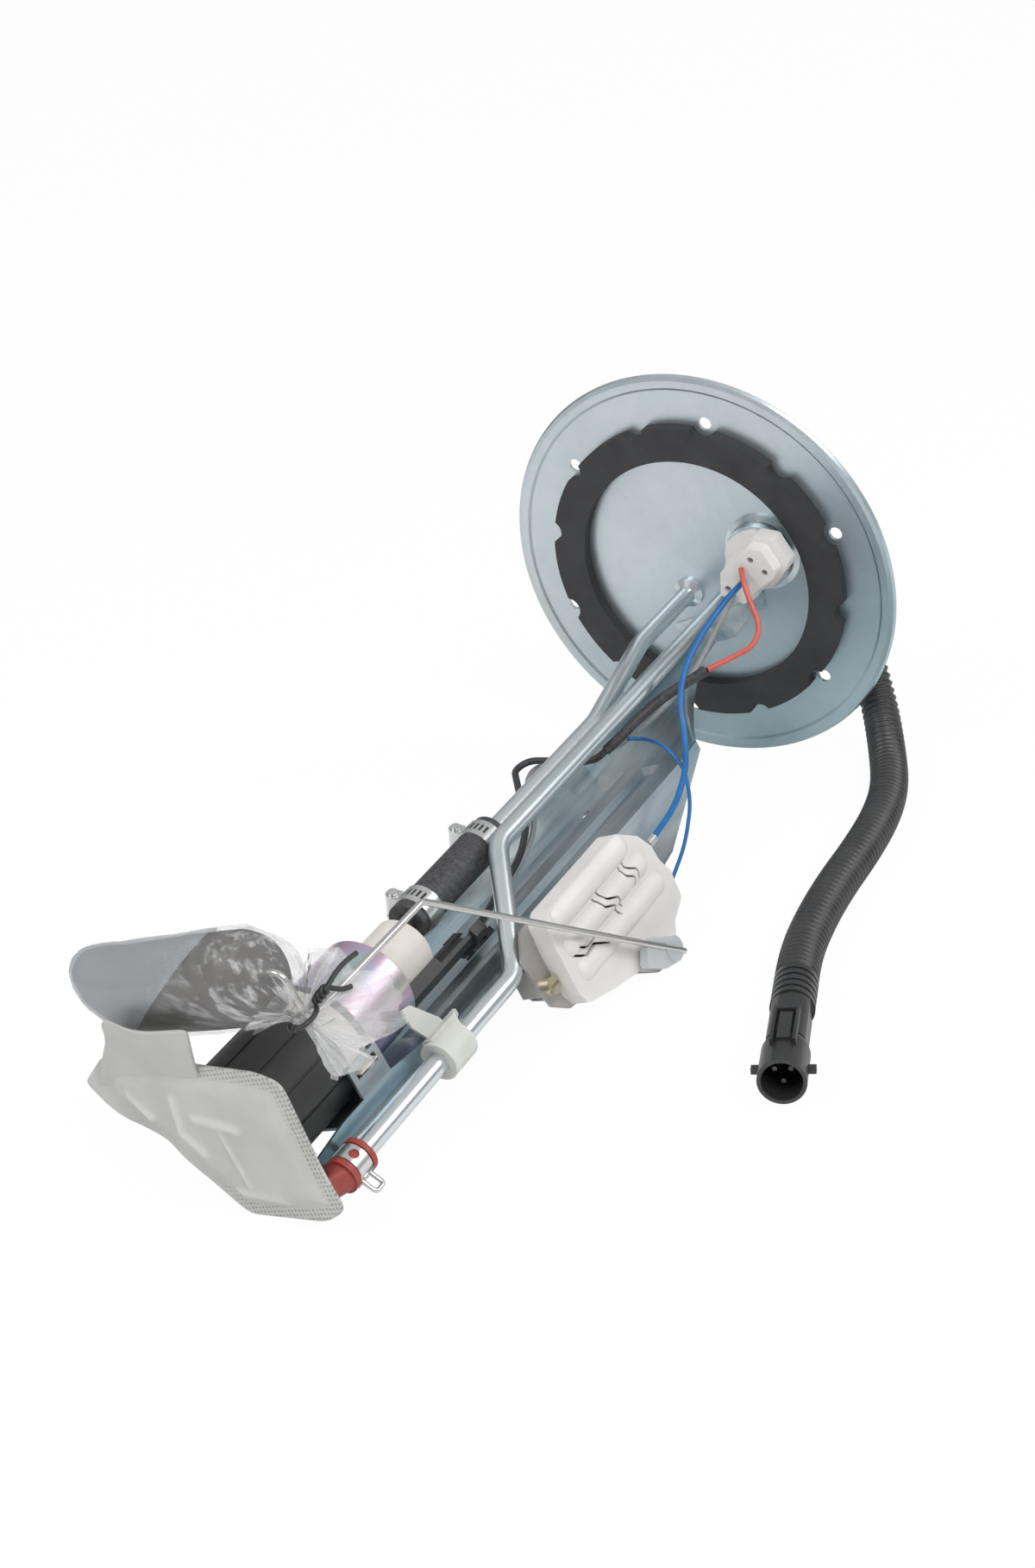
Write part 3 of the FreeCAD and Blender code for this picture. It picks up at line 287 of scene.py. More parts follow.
def vectorStep(tree, way, a, b=None):
    node = tree.nodes.new("ShaderNodeVectorMath")
    node.operation = way
    tree.links.new(a, node.inputs[0])
    if b is not None:
        node.inputs[1].default_value = b
    return node.outputs["Value" if way in ("LENGTH", "DOT_PRODUCT") else "Vector"]


def axes(tree, vector):
    split = tree.nodes.new("ShaderNodeSeparateXYZ")
    tree.links.new(vector, split.inputs["Vector"])
    return split.outputs


def mixColour(tree, factor, a, b, way="MIX"):
    node = tree.nodes.new("ShaderNodeMix")
    node.data_type = "RGBA"
    node.blend_type = way
    for k, value in ((0, factor), (6, a), (7, b)):  # the colour sockets of the Mix node
        feed(tree, node.inputs[k], value)
    return node.outputs[2]


def bump(tree, shader, height, strength, distance):
    node = tree.nodes.new("ShaderNodeBump")
    setSockets(node, {"Strength": strength, "Distance": distance})
    tree.links.new(height, node.inputs["Height"])
    tree.links.new(node.outputs["Normal"], shader.inputs["Normal"])


# Finishes

zinc = {
    "cloud": 16.0, "cloudStops": (0.3, 0.62), "grain": 110.0, "streak": (0.06, 1, 1),
    "pale": 0.88, "tintStops": (0.35, 0.65), "gloss": (0.24, 0.36), "metallic": 0.92,
    "bump": 0.03, "bumpDepth": 0.0002, "stainPatch": 26.0, "stainSpread": (-0.6, 1.6),
}


def platedSteel(name, look):
    # Bright plated steel: faint cloudy colour, brushed streaks and uneven gloss.
    white = (1.0, 1.0, 1.0)
    material, tree, shader = nodeTree(name)
    flat = objectCoords(tree, turn=layTurnBack)
    streaky = objectCoords(tree, scale=look["streak"], turn=layTurnBack)
    cloud = noiseField(tree, streaky if "run" in look else flat, look["cloud"], detail=5.0)
    streak = noiseField(tree, streaky, look["grain"], detail=3.0)
    low, high = look["cloudStops"]
    base = ramp(tree, cloud, [(low, look["dark"]), (high, look["light"])])
    low, high = look["tintStops"]
    pale = look["pale"]
    tint = ramp(tree, streak, [(low, (pale, pale + 0.01, pale + 0.02)), (high, white)])
    colour = mixColour(tree, 1.0, base, tint, "MULTIPLY")
    # Painted shade and painted reflection: the colour is made darker and bluer along the given way,
    # towards the lower side of the piece.
    if "paintedShadeAndReflection" in look:
        paintedShadeAndReflection = look["paintedShadeAndReflection"]
        lower = mapped(tree, vectorStep(tree, "DOT_PRODUCT", flat, paintedShadeAndReflection["way"]), paintedShadeAndReflection["reach"])
        colour = mixColour(tree, 1.0, colour, mixColour(tree, lower, white, paintedShadeAndReflection["colour"]),
                           "MULTIPLY")
    if "stain" in look:
        stain = look["stain"]
        away = mapped(tree, axes(tree, flat)["Y"], stain["reach"])
        patch = mapped(tree, noiseField(tree, flat, look["stainPatch"], detail=6.0),
                       end=look["stainSpread"])
        clamp = tree.nodes.new("ShaderNodeClamp")
        tree.links.new(mathStep(tree, "MULTIPLY", away, patch), clamp.inputs["Value"])
        colour = mixColour(tree, clamp.outputs[0], colour, stain["colour"])
    tree.links.new(colour, shader.inputs["Base Color"])
    tree.links.new(mapped(tree, streak, end=look["gloss"]), shader.inputs["Roughness"])
    shader.inputs["Metallic"].default_value = look["metallic"]
    bump(tree, shader, noiseField(tree, streaky, look["grain"] * 3, detail=2.0), look["bump"],
         look["bumpDepth"])
    return material


plainPlastic = {
    "cloud": 60.0, "cloudStops": (0.3, 0.7), "gloss": (0.3, 0.45), "grain": 900.0, "bump": 0.15,
    "bumpDepth": 0.00015, "glow": 0.0, "glowReach": 0.004, "clear": 0.0,
}


def mouldedPlastic(name, look):
    # Moulded plastic or rubber with a fine skin and faint mottling.
    material, tree, shader = nodeTree(name)
    flat = objectCoords(tree)
    cloud = noiseField(tree, flat, look["cloud"], detail=4.0)
    low, high = look["cloudStops"]
    colour = ramp(tree, cloud, [(low, look["dark"]), (high, look["light"])])
    tree.links.new(colour, shader.inputs["Base Color"])
    tree.links.new(mapped(tree, cloud, end=look["gloss"]), shader.inputs["Roughness"])
    setSockets(shader, {"Subsurface Weight": look["glow"], "Subsurface Scale": 1.0,
                        "Subsurface Radius": (look["glowReach"],) * 3,
                        "Transmission Weight": look["clear"]})
    bump(tree, shader, noiseField(tree, flat, look["grain"], detail=3.0), look["bump"],
         look["bumpDepth"])
    return material


canSet = {
    "along": (0.5, 1, 1), "drift": 38.0, "metallic": 0.9, "scratch": 90.0, "gloss": (0.22, 0.36),
    "grain": 1500.0, "bump": 0.05, "bumpDepth": 0.0001,
    "tints": [(0.30, (0.42, 0.52, 0.62)), (0.42, (0.46, 0.64, 0.58)), (0.50, (0.56, 0.52, 0.70)),
              (0.58, (0.66, 0.48, 0.60)), (0.70, (0.62, 0.64, 0.58))],
}


def passivatedCan(name):
    # Passivated can: bluish silver that drifts to lilac, green and straw along its side.
    material, tree, shader = nodeTree(name)
    flat = objectCoords(tree, turn=layTurnBack)
    wide = objectCoords(tree, scale=canSet["along"], turn=layTurnBack)
    colour = ramp(tree, noiseField(tree, wide, canSet["drift"], detail=2.0), canSet["tints"])
    tree.links.new(colour, shader.inputs["Base Color"])
    shader.inputs["Metallic"].default_value = canSet["metallic"]
    gloss = mapped(tree, noiseField(tree, flat, canSet["scratch"], detail=3.0), end=canSet["gloss"])
    tree.links.new(gloss, shader.inputs["Roughness"])
    bump(tree, shader, noiseField(tree, flat, canSet["grain"], detail=2.0), canSet["bump"],
         canSet["bumpDepth"])
    return material


feltSet = {
    "cloud": 45.0, "felt": [(0.35, (0.455, 0.452, 0.435)), (0.65, (0.505, 0.50, 0.485))],
    "bar": (0.60, 0.595, 0.575), "dotScale": 600.0, "dotJitter": 0.15,
    "dots": [(0.20, (0.58, 0.58, 0.57)), (0.42, (1.0, 1.0, 1.0))],
    "fibre": 1400.0, "bump": 0.25, "bumpDepth": 0.0002,
}


def sockFelt(name):
    # Pickup felt: pale, with a dotted weld near its edge and paler bars where the frame shows.
    material, tree, shader = nodeTree(name)
    flat = objectCoords(tree, turn=layTurnBack)
    colour = ramp(tree, noiseField(tree, flat, feltSet["cloud"], detail=4.0), feltSet["felt"])
    marks = {}
    for mark in ("hem", "bar"):
        node = tree.nodes.new("ShaderNodeAttribute")
        node.attribute_name = mark
        marks[mark] = node.outputs["Fac"]
    colour = mixColour(tree, marks["bar"], colour, feltSet["bar"])
    weave = tree.nodes.new("ShaderNodeTexVoronoi")
    setSockets(weave, {"Scale": feltSet["dotScale"], "Randomness": feltSet["dotJitter"]})
    tree.links.new(objectCoords(tree, scale=(0, 1, 1), turn=layTurnBack), weave.inputs["Vector"])
    dots = ramp(tree, weave.outputs["Distance"], feltSet["dots"])
    dotted = mixColour(tree, 1.0, colour, dots, "MULTIPLY")
    tree.links.new(mixColour(tree, marks["hem"], colour, dotted), shader.inputs["Base Color"])
    setSockets(shader, {"Roughness": 0.85, "Sheen Weight": 0.15, "Specular IOR Level": 0.3})
    bump(tree, shader, noiseField(tree, flat, feltSet["fibre"], detail=3.0), feltSet["bump"],
         feltSet["bumpDepth"])
    return material


filmSet = {
    "neck": (0.3645, 0.0526, 0.0156), "gathered": (0.058, 0.012),  # metres from the tie
    "rays": 6.5, "rayDetail": 5.0, "rayRoughness": 0.62, "rayStops": (0.50, 0.66),
    "slope": 1.68, "edge": -0.0553, "soft": 0.0005,  # where the second layer ends
    "mouthLow": (0.0135, 0.0105), "mouthFar": (0.3465, 0.3445),
    # the folds to the tie are whiter: partly creased film, partly painted highlight streaks
    "cloud": 48.0, "clear": 0.07, "foldMilkAndHighlight": 0.5, "doubleMilk": 0.34, "mouthMilk": 0.27,
    "single": (0.70, 0.70, 0.70), "double": (0.50, 0.52, 0.54),
    "wave": 34.0, "waveHeight": 0.25, "fine": 240.0, "bump": 0.28, "bumpDepth": 0.0014,
}


def bagFilm(name):
    # Thin film: clear over the dark float, milkier where it lies double and in the open mouth, and
    # whiter in its folds to the tie, partly from creased film and partly as painted highlight
    # streaks.
    film = filmSet
    material, tree, shader = nodeTree(name)
    flat = objectCoords(tree, turn=layTurnBack)
    at = axes(tree, flat)
    fromNeck = vectorStep(tree, "SUBTRACT", flat, film["neck"])
    close = mapped(tree, vectorStep(tree, "LENGTH", fromNeck), film["gathered"])
    rays = noiseField(tree, vectorStep(tree, "NORMALIZE", fromNeck), film["rays"],
                      film["rayDetail"], film["rayRoughness"])
    # The folds to the tie are whiter: partly creased film, partly painted highlight streaks.
    folds = mathStep(tree, "MULTIPLY", mapped(tree, rays, film["rayStops"]), close)
    slant = mathStep(tree, "SUBTRACT", at["Y"], mathStep(tree, "MULTIPLY", at["Z"], film["slope"]))
    double = mapped(tree, slant, (film["edge"] + film["soft"], film["edge"] - film["soft"]))
    mouth = mathStep(tree, "MAXIMUM", mapped(tree, at["Z"], film["mouthLow"]),
                     mapped(tree, at["X"], film["mouthFar"]))
    crumpled = mathStep(tree, "MULTIPLY", mouth, noiseField(tree, flat, film["cloud"], detail=5.0))
    alpha = film["clear"]
    for part, milk in ((folds, "foldMilkAndHighlight"), (double, "doubleMilk"), (crumpled, "mouthMilk")):
        alpha = mathStep(tree, "ADD", alpha, mathStep(tree, "MULTIPLY", part, film[milk]))
    tree.links.new(alpha, shader.inputs["Alpha"])
    tree.links.new(mixColour(tree, double, film["single"], film["double"]),
                   shader.inputs["Base Color"])
    setSockets(shader, {"Roughness": 0.2, "Specular IOR Level": 0.45})
    wave = mathStep(tree, "MULTIPLY", noiseField(tree, flat, film["wave"], detail=2.0),
                    film["waveHeight"])
    fine = mathStep(tree, "MULTIPLY", noiseField(tree, flat, film["fine"], detail=4.0), mouth)
    relief = mathStep(tree, "ADD", mathStep(tree, "MULTIPLY", rays, close),
                      mathStep(tree, "ADD", wave, fine))
    bump(tree, shader, relief, film["bump"], film["bumpDepth"])
    return material


platedLooks = {
    "zincFlange": {
        "dark": (0.52, 0.58, 0.61), "light": (0.60, 0.66, 0.69), "cloud": 14.0,
        "gloss": (0.30, 0.40), "pale": 0.95,
        # painted shade and painted reflection: darker and bluer towards the lower part of the disc
        "paintedShadeAndReflection": {"way": (0, 0.35, -0.94), "reach": (-0.02, 0.07), "colour": (0.70, 0.82, 0.84)},
        "stain": {"reach": (-0.086, -0.096), "colour": (0.56, 0.53, 0.38)}},
    "zincBracket": {"dark": (0.26, 0.39, 0.46), "light": (0.70, 0.74, 0.74), "cloud": 70.0,
                    "streak": (0.12, 1, 1), "run": True},
    "plateSteel": {"dark": (0.48, 0.45, 0.43), "light": (0.60, 0.57, 0.55)},
    "wireSteel": {"dark": (0.58, 0.57, 0.55), "light": (0.62, 0.61, 0.59), "pale": 0.98,
                  "streak": (1, 1, 1), "bump": 0.0, "gloss": (0.26, 0.3)},
    "darkPins": {"dark": (0.06, 0.055, 0.05), "light": (0.10, 0.09, 0.08)},
    "brightLine": {"dark": (0.56, 0.64, 0.66), "light": (0.74, 0.78, 0.79),
                   "gloss": (0.26, 0.32), "grain": 60.0, "pale": 0.96, "bump": 0.0,
                   "cloud": 40.0, "streak": (0.15, 1, 1), "run": True},
    "stainless": {"dark": (0.60, 0.60, 0.59), "light": (0.70, 0.70, 0.69),
                  "gloss": (0.24, 0.32), "grain": 60.0, "pale": 0.94, "bump": 0.0},
    "brassPlate": {"dark": (0.50, 0.38, 0.20), "light": (0.66, 0.52, 0.30),
                   "gloss": (0.25, 0.4)},
    "yellowZinc": {"dark": (0.58, 0.52, 0.36), "light": (0.74, 0.70, 0.56),
                   "gloss": (0.25, 0.4)},
    "copperWinding": {"dark": (0.40, 0.20, 0.10), "light": (0.60, 0.32, 0.18)},
}
mouldedLooks = {
    "gasketRubber": {"dark": (0.022, 0.022, 0.025), "light": (0.04, 0.04, 0.044),
                     "gloss": (0.55, 0.75), "grain": 700.0, "bump": 0.3},
    "sleeveRubber": {"dark": (0.024, 0.024, 0.024), "light": (0.042, 0.042, 0.042),
                     "gloss": (0.42, 0.6), "grain": 500.0},
    "hoseRubber": {"dark": (0.022, 0.022, 0.024), "light": (0.075, 0.075, 0.080),
                   "gloss": (0.4, 0.65), "grain": 520.0, "bump": 1.0, "cloud": 560.0},
    "blackPlastic": {"dark": (0.020, 0.020, 0.020), "light": (0.034, 0.034, 0.034)},
    "conduitPlastic": {"dark": (0.026, 0.026, 0.027), "light": (0.042, 0.042, 0.043),
                       "gloss": (0.3, 0.42)},
    "whitePlastic": {"dark": (0.68, 0.66, 0.64), "light": (0.75, 0.73, 0.71),
                     "gloss": (0.32, 0.42), "glow": 0.15, "cloud": 30.0},
    "milkyPlastic": {"dark": (0.56, 0.57, 0.53), "light": (0.64, 0.645, 0.61),
                     "gloss": (0.35, 0.5), "glow": 0.35},
    "creamPlastic": {"dark": (0.62, 0.585, 0.53), "light": (0.68, 0.65, 0.60),
                     "gloss": (0.35, 0.5), "glow": 0.1},
    "clearPlastic": {"dark": (0.62, 0.65, 0.66), "light": (0.72, 0.75, 0.76),
                     "gloss": (0.2, 0.3), "clear": 0.35, "glow": 0.3},
    "floatFoam": {"dark": (0.060, 0.054, 0.050), "light": (0.10, 0.092, 0.086),
                  "gloss": (0.4, 0.55), "grain": 300.0, "bump": 0.1, "cloud": 25.0},
    "redRubber": {"dark": (0.27, 0.04, 0.03), "light": (0.36, 0.06, 0.045),
                  "gloss": (0.4, 0.55)},
    "blueWire": {"dark": (0.005, 0.10, 0.30), "light": (0.008, 0.14, 0.40),
                 "gloss": (0.28, 0.4)},
    "redWire": {"dark": (0.48, 0.08, 0.06), "light": (0.60, 0.12, 0.09), "gloss": (0.28, 0.4)},
    "blackWire": {"dark": (0.022, 0.022, 0.025), "light": (0.04, 0.04, 0.045)},
    "greyWire": {"dark": (0.24, 0.25, 0.26), "light": (0.34, 0.35, 0.36)},
    "cardGreen": {"dark": (0.05, 0.12, 0.08), "light": (0.08, 0.18, 0.12)},
    "magnetBlack": {"dark": (0.05, 0.05, 0.055), "light": (0.09, 0.09, 0.095),
                    "gloss": (0.4, 0.6)},
}
looks = {name: platedSteel(name, dict(zinc, **look)) for name, look in platedLooks.items()}
looks.update({name: mouldedPlastic(name, dict(plainPlastic, **look))
              for name, look in mouldedLooks.items()})
looks["canPlating"] = passivatedCan("canPlating")
looks["pickupFelt"] = sockFelt("pickupFelt")
looks["bagFilm"] = bagFilm("bagFilm")
print("looks made", len(looks))

nodeLooks = {
    "flange_plate": "zincFlange", "flange_gasket": "gasketRubber",
    "connector_cup": "zincBracket", "bulkhead_connector": "whitePlastic",
    "feed_pins": "brassPlate", "supply_line": "brightLine", "return_line": "brightLine",
    "outlet_hose": "hoseRubber", "hose_clamp_upper": "stainless",
    "hose_clamp_lower": "stainless", "clamp_screws": "stainless", "bracket": "zincBracket",
    "pump_can": "canPlating", "pump_cap": "creamPlastic", "pump_outlet": "blackPlastic",
    "check_ball": "stainless", "pump_bearings": "brassPlate", "rotor_shaft": "stainless",
    "armature": "copperWinding", "pump_magnets": "magnetBlack", "impeller": "blackPlastic",
    "pump_volute": "blackPlastic", "pump_inlet": "blackPlastic", "pump_sleeve": "sleeveRubber",
    "pump_plug": "blackPlastic", "pump_strap": "creamPlastic", "line_clip": "milkyPlastic",
    "duckbill_valve": "redRubber", "valve_clamp": "stainless", "sock_neck": "whitePlastic",
    "sender_plate": "plateSteel", "sender_housing": "whitePlastic",
    "sender_screw": "yellowZinc", "resistor_card": "cardGreen", "sender_terminal": "stainless",
    "sender_rotor": "clearPlastic", "sender_wiper": "brassPlate", "float_wire": "wireSteel",
    "float_body": "floatFoam", "push_nut": "stainless", "twist_tie": "blackPlastic",
    "wire_blue": "blueWire", "wire_red": "redWire", "wire_sleeve": "hoseRubber",
    "wire_pump": "blackWire", "wire_ground": "greyWire", "wire_sender": "blueWire",
    "harness_plug": "blackPlastic", "connector_boot": "blackPlastic",
    "harness_connector": "blackPlastic", "connector_pins": "darkPins",
    "pickup_sock": "pickupFelt", "float_bag": "bagFilm", "harness_conduit": "conduitPlastic",
}


def dress(piece, lookName):
    piece.data.materials.clear()
    piece.data.materials.append(looks[lookName])


def dressNodes():
    for name, lookName in nodeLooks.items():
        if name not in nodes:
            continue
        mesh = nodes[name].data
        for k in range(len(mesh.materials)):
            mesh.materials[k] = looks[lookName]
        if not mesh.materials:
            mesh.materials.append(looks[lookName])
    print("nodes dressed")


dressNodes()
dress(conduit, "conduitPlastic")


# Pickup sock: a flat felt bag with a quilted middle, a welded edge and a folded flap

sockSet = {
    "centre": (384.0, 2.0, -19.2), "tilt": -7.4, "half": 2.9, "hem": 0.55, "step": 1.1,
    "corner": 4.0, "cornerSteps": 5,
    "outline": [(-50.4, 28.7), (-38, 38), (-10, 38.5), (7.6, 32.1), (35, 26.9), (44.6, 22),
                (45.4, -11.1), (47.5, -25.5), (37, -29), (2.2, -24.8), (-4.2, -17.5),
                (-21.4, 3), (-37.6, 15.8)],
    "weld": 4.0, "swell": 6.0, "sag": 0.7, "sagShare": 0.6, "sagScale": 0.05,
    "skinsApart": 3.0,
    "bars": [((-1, 13), (17, 8), 3.2), ((4, -15.5), (23, -20), 3.2),
             ((-27, 25), (-21, 15.5), 2.8), ((-7, 21), (-10, 8), 3.0),
             ((-10, 8), (-3.5, 0), 3.0), ((8, 7), (11, -14), 1.5)],
    "lift": 1.0, "hemFade": 1.2, "dotsFrom": -8.0, "dotsFade": 12.0,
    "fold": 1.1, "foldFrom": -10.0, "foldFade": 12.0, "foldRun": (0.34, 0.15),
}
flapSet = {
    "lean": 14.0, "at": 27.0, "half": 0.6, "corner": 4.0, "wave": 1.7, "waveRun": (0.16, 1.0),
    "stiff": 30.0,
    "outline": [(-46, -1), (-19, 22.3), (-14, 31), (21, 21), (18.2, 16.5), (9, 2), (6, -4),
                (-40, -6)],
}


def smoothOutline(points, radius):
    # Closed outline with each corner rounded.
    out = []
    count, steps = len(points), sockSet["cornerSteps"]
    for i in range(count):
        p = Vector(points[i])
        back, ahead = Vector(points[i - 1]) - p, Vector(points[(i + 1) % count]) - p
        reach = min(radius, back.length * 0.45, ahead.length * 0.45)  # under half of each side
        a, b = p + back.normalized() * reach, p + ahead.normalized() * reach
        for k in range(steps + 1):
            t = k / steps
            out.append(a.lerp(p, t).lerp(p.lerp(b, t), t))
    return out


def nearest(a, b, p):
    # Distance of p from the line between a and b.
    ab = b - a
    return (p - a - ab * held((p - a).dot(ab) / max(ab.length_squared, 1e-12))).length


def edgeDistance(outline, p):
    # How far inside the outline a point is, less than 0 where it is outside.
    best, inside = 1e9, False
    for i in range(len(outline)):
        a, b = outline[i - 1], outline[i]
        best = min(best, nearest(a, b, p))
        if (a.y > p.y) != (b.y > p.y):
            if p.x < (b.x - a.x) * (p.y - a.y) / (b.y - a.y) + a.x:
                inside = not inside
    return best if inside else -best


def barMark(p):
    # 1 on the bars of the frame inside, where they push the felt out, and 0 away from them.
    return max(eased(max(0.0, 1 - nearest(Vector(start), Vector(end), p) / width))
               for start, end, width in sockSet["bars"])


def feltSheet(bm, outline, height, place, marked):
    # Both skins of a felt bag from its flat outline, with their own heights, joined at the edge.
    hem, bar = bm.verts.layers.float["hem"], bm.verts.layers.float["bar"]
    oldFaces, oldVerts = set(bm.faces), set(bm.verts)
    face = bm.faces.new([bm.verts.new((p.x, p.y, 0)) for p in outline])
    bmesh.ops.triangulate(bm, faces=[face])
    for axis in (0, 1):
        low, high = min(p[axis] for p in outline), max(p[axis] for p in outline)
        at = low + sockSet["step"]
        while at < high:
            spot, way = Vector((0, 0, 0)), Vector((0, 0, 0))
            spot[axis], way[axis] = at, 1
            newFaces = [f for f in bm.faces if f not in oldFaces]
            newVerts = [v for v in bm.verts if v not in oldVerts]
            newEdges = list({e for f in newFaces for e in f.edges})
            bmesh.ops.bisect_plane(bm, geom=newVerts + newEdges + newFaces,
                                   plane_co=spot, plane_no=way)
            at += sockSet["step"]
    upperFaces = [f for f in bm.faces if f not in oldFaces]
    upper = [v for v in bm.verts if v not in oldVerts]
    copy = bmesh.ops.duplicate(bm, geom=upperFaces)["geom"]
    under = [g for g in copy if isinstance(g, bmesh.types.BMVert)]
    underFaces = [g for g in copy if isinstance(g, bmesh.types.BMFace)]
    for v, side in [(v, 1) for v in upper] + [(v, -1) for v in under]:
        flat = Vector((v.co.x, v.co.y))
        if marked:
            inside = edgeDistance(outline, flat) - sockSet["weld"]
            dotted = held((flat.x - sockSet["dotsFrom"]) / sockSet["dotsFade"])
            v[hem] = held(1 - inside / sockSet["hemFade"]) * dotted
            v[bar] = barMark(flat)
        v.co.z = height(flat, side)
    bmesh.ops.reverse_faces(bm, faces=underFaces)
    edges = list({e for f in upperFaces + underFaces for e in f.edges if e.is_boundary})
    bmesh.ops.bridge_loops(bm, edges=edges)
    for v in upper + under:
        v.co = place(v.co)


def makeSock():
    bm = bmesh.new()
    for mark in ("hem", "bar"):
        bm.verts.layers.float.new(mark)
    centre = Vector(sockSet["centre"])
    turn = Matrix.Rotation(math.radians(sockSet["tilt"]), 3, "Y")
    outline = smoothOutline(sockSet["outline"], sockSet["corner"])

    def height(p, side):
        rise = eased(held((edgeDistance(outline, p) - sockSet["weld"]) / sockSet["swell"]))
        scale = sockSet["sagScale"]
        slow = noise.noise(Vector((p.x * scale, p.y * scale, side * sockSet["skinsApart"])))
        swell = sockSet["half"] - sockSet["hem"] - sockSet["sag"] * (sockSet["sagShare"] + slow)
        loose = held((sockSet["foldFrom"] - p.x) / sockSet["foldFade"])
        runX, runY = sockSet["foldRun"]
        fold = math.sin(p.x * runX + p.y * runY + slow) * sockSet["fold"] * loose
        quilt = (swell + barMark(p) * sockSet["lift"]) * rise
        return side * (sockSet["hem"] + quilt) + fold

    def place(p):
        # the flat drawing's x and y are the sock's y and z, and its height is along x
        return laid(*(centre + turn @ Vector((p.z, p.x, p.y))))

    feltSheet(bm, outline, height, place, True)
    lean = Matrix.Rotation(math.radians(flapSet["lean"] - sockSet["tilt"]), 3, "Y")
    hinge = Vector((0, 0, flapSet["at"]))

    def flapHeight(p, side):
        run, start = flapSet["waveRun"]
        free = held(p.y / flapSet["stiff"])
        return side * flapSet["half"] + math.sin(p.x * run + start) * flapSet["wave"] * free

    def flapPlace(p):
        return laid(*(centre + turn @ (hinge + lean @ Vector((p.z, p.x, p.y)))))

    flap = smoothOutline(flapSet["outline"], flapSet["corner"])
    feltSheet(bm, flap, flapHeight, flapPlace, False)
    bmesh.ops.recalc_face_normals(bm, faces=bm.faces)
    piece = meshPiece(bm, "pickup_sock_felt")
    dress(piece, "pickupFelt")
    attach(piece, "frame")
    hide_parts("pickup_sock")
    print("sock made", len(piece.data.polygons))


makeSock()


# Film bag over the float, tied at its neck, with a ruffled mouth

bagSet = {
    # along y: half width in x, half height in z, middle height
    "sections": [(-38.5, 6, 5.4, 46), (-36, 10, 8.2, 44.2), (-30, 14, 12.4, 39.8),
                 (-21, 16, 16.3, 34.9), (-4, 16.2, 17.6, 33.6), (18, 16.0, 18.2, 33),
                 (38, 15.8, 18, 32.4), (50, 13, 13.5, 32), (56, 6.5, 7, 31)],
    "tips": [(-39.0, 46.0), (57.0, 31.0)],
    "centre": 363.0, "film": 0.15, "around": 56, "along": 52,
    "fold": 0.9, "foldScale": (2.2, 0.045), "creaseScale": (6.0, 0.12), "creaseFrom": 9.0,
    "creaseShare": 0.5, "slack": 0.3, "depth": 0.045,
}
floatSet = {"gap": 1.5, "far": -37.0, "near": 44.0, "round": 1.6, "around": 72, "along": 60}
skirtSet = {
    "tied": (364.5, 52.6, 15.8), "neck": 2.2, "flat": 1.9, "gather": 8.0, "inside": 9.0,
    "axis": (-0.84, 0.16, -0.48), "down": (0.51, 0.1, -0.87), "around": 96, "along": 48,
    "reach": 7.0, "fan": 27.0, "spread": 19.5, "open": 4.5, "pleats": 9, "ruffle": 1.7,
    "crinkle": (3.1, 2.2, 4.0), "fine": (8.0, 5.0), "fineShare": 1.4, "twist": 3.0,
    "insidePleat": 0.12, "growth": 1.15, "acrossCrinkle": 0.25, "throughPleat": 0.5,
    "ragged": (0.10, 5, 1.0), "turnIn": 4.0,
}


def pouchSection(y):
    rows = bagSet["sections"]
    i = 0
    while i < len(rows) - 2 and rows[i + 1][0] < y:
        i += 1
    k = held((y - rows[i][0]) / (rows[i + 1][0] - rows[i][0]))
    return [rows[i][j] * (1 - k) + rows[i + 1][j] * k for j in (1, 2, 3)]


def bagPoint(s, t):
    # Point of the pouch: s along it from 0 to 1, t round it from 0 to 1.
    rows = bagSet["sections"]
    y = rows[0][0] + (rows[-1][0] - rows[0][0]) * s
    rx, rz, zc = pouchSection(y)
    a = 2 * math.pi * t
    x, z = math.cos(a), math.sin(a)
    (wide, long), (fineWide, fineLong) = bagSet["foldScale"], bagSet["creaseScale"]
    fold = noise.noise(Vector((x * wide, z * wide, y * long)))
    crease = noise.noise(Vector((x * fineWide, z * fineWide, y * fineLong + bagSet["creaseFrom"])))
    less = bagSet["fold"] * (fold - abs(crease) * bagSet["creaseShare"]) - bagSet["slack"]
    reach = 1 + less * bagSet["depth"]
    return laid(bagSet["centre"] + x * rx * reach, y, zc + z * rz * reach)


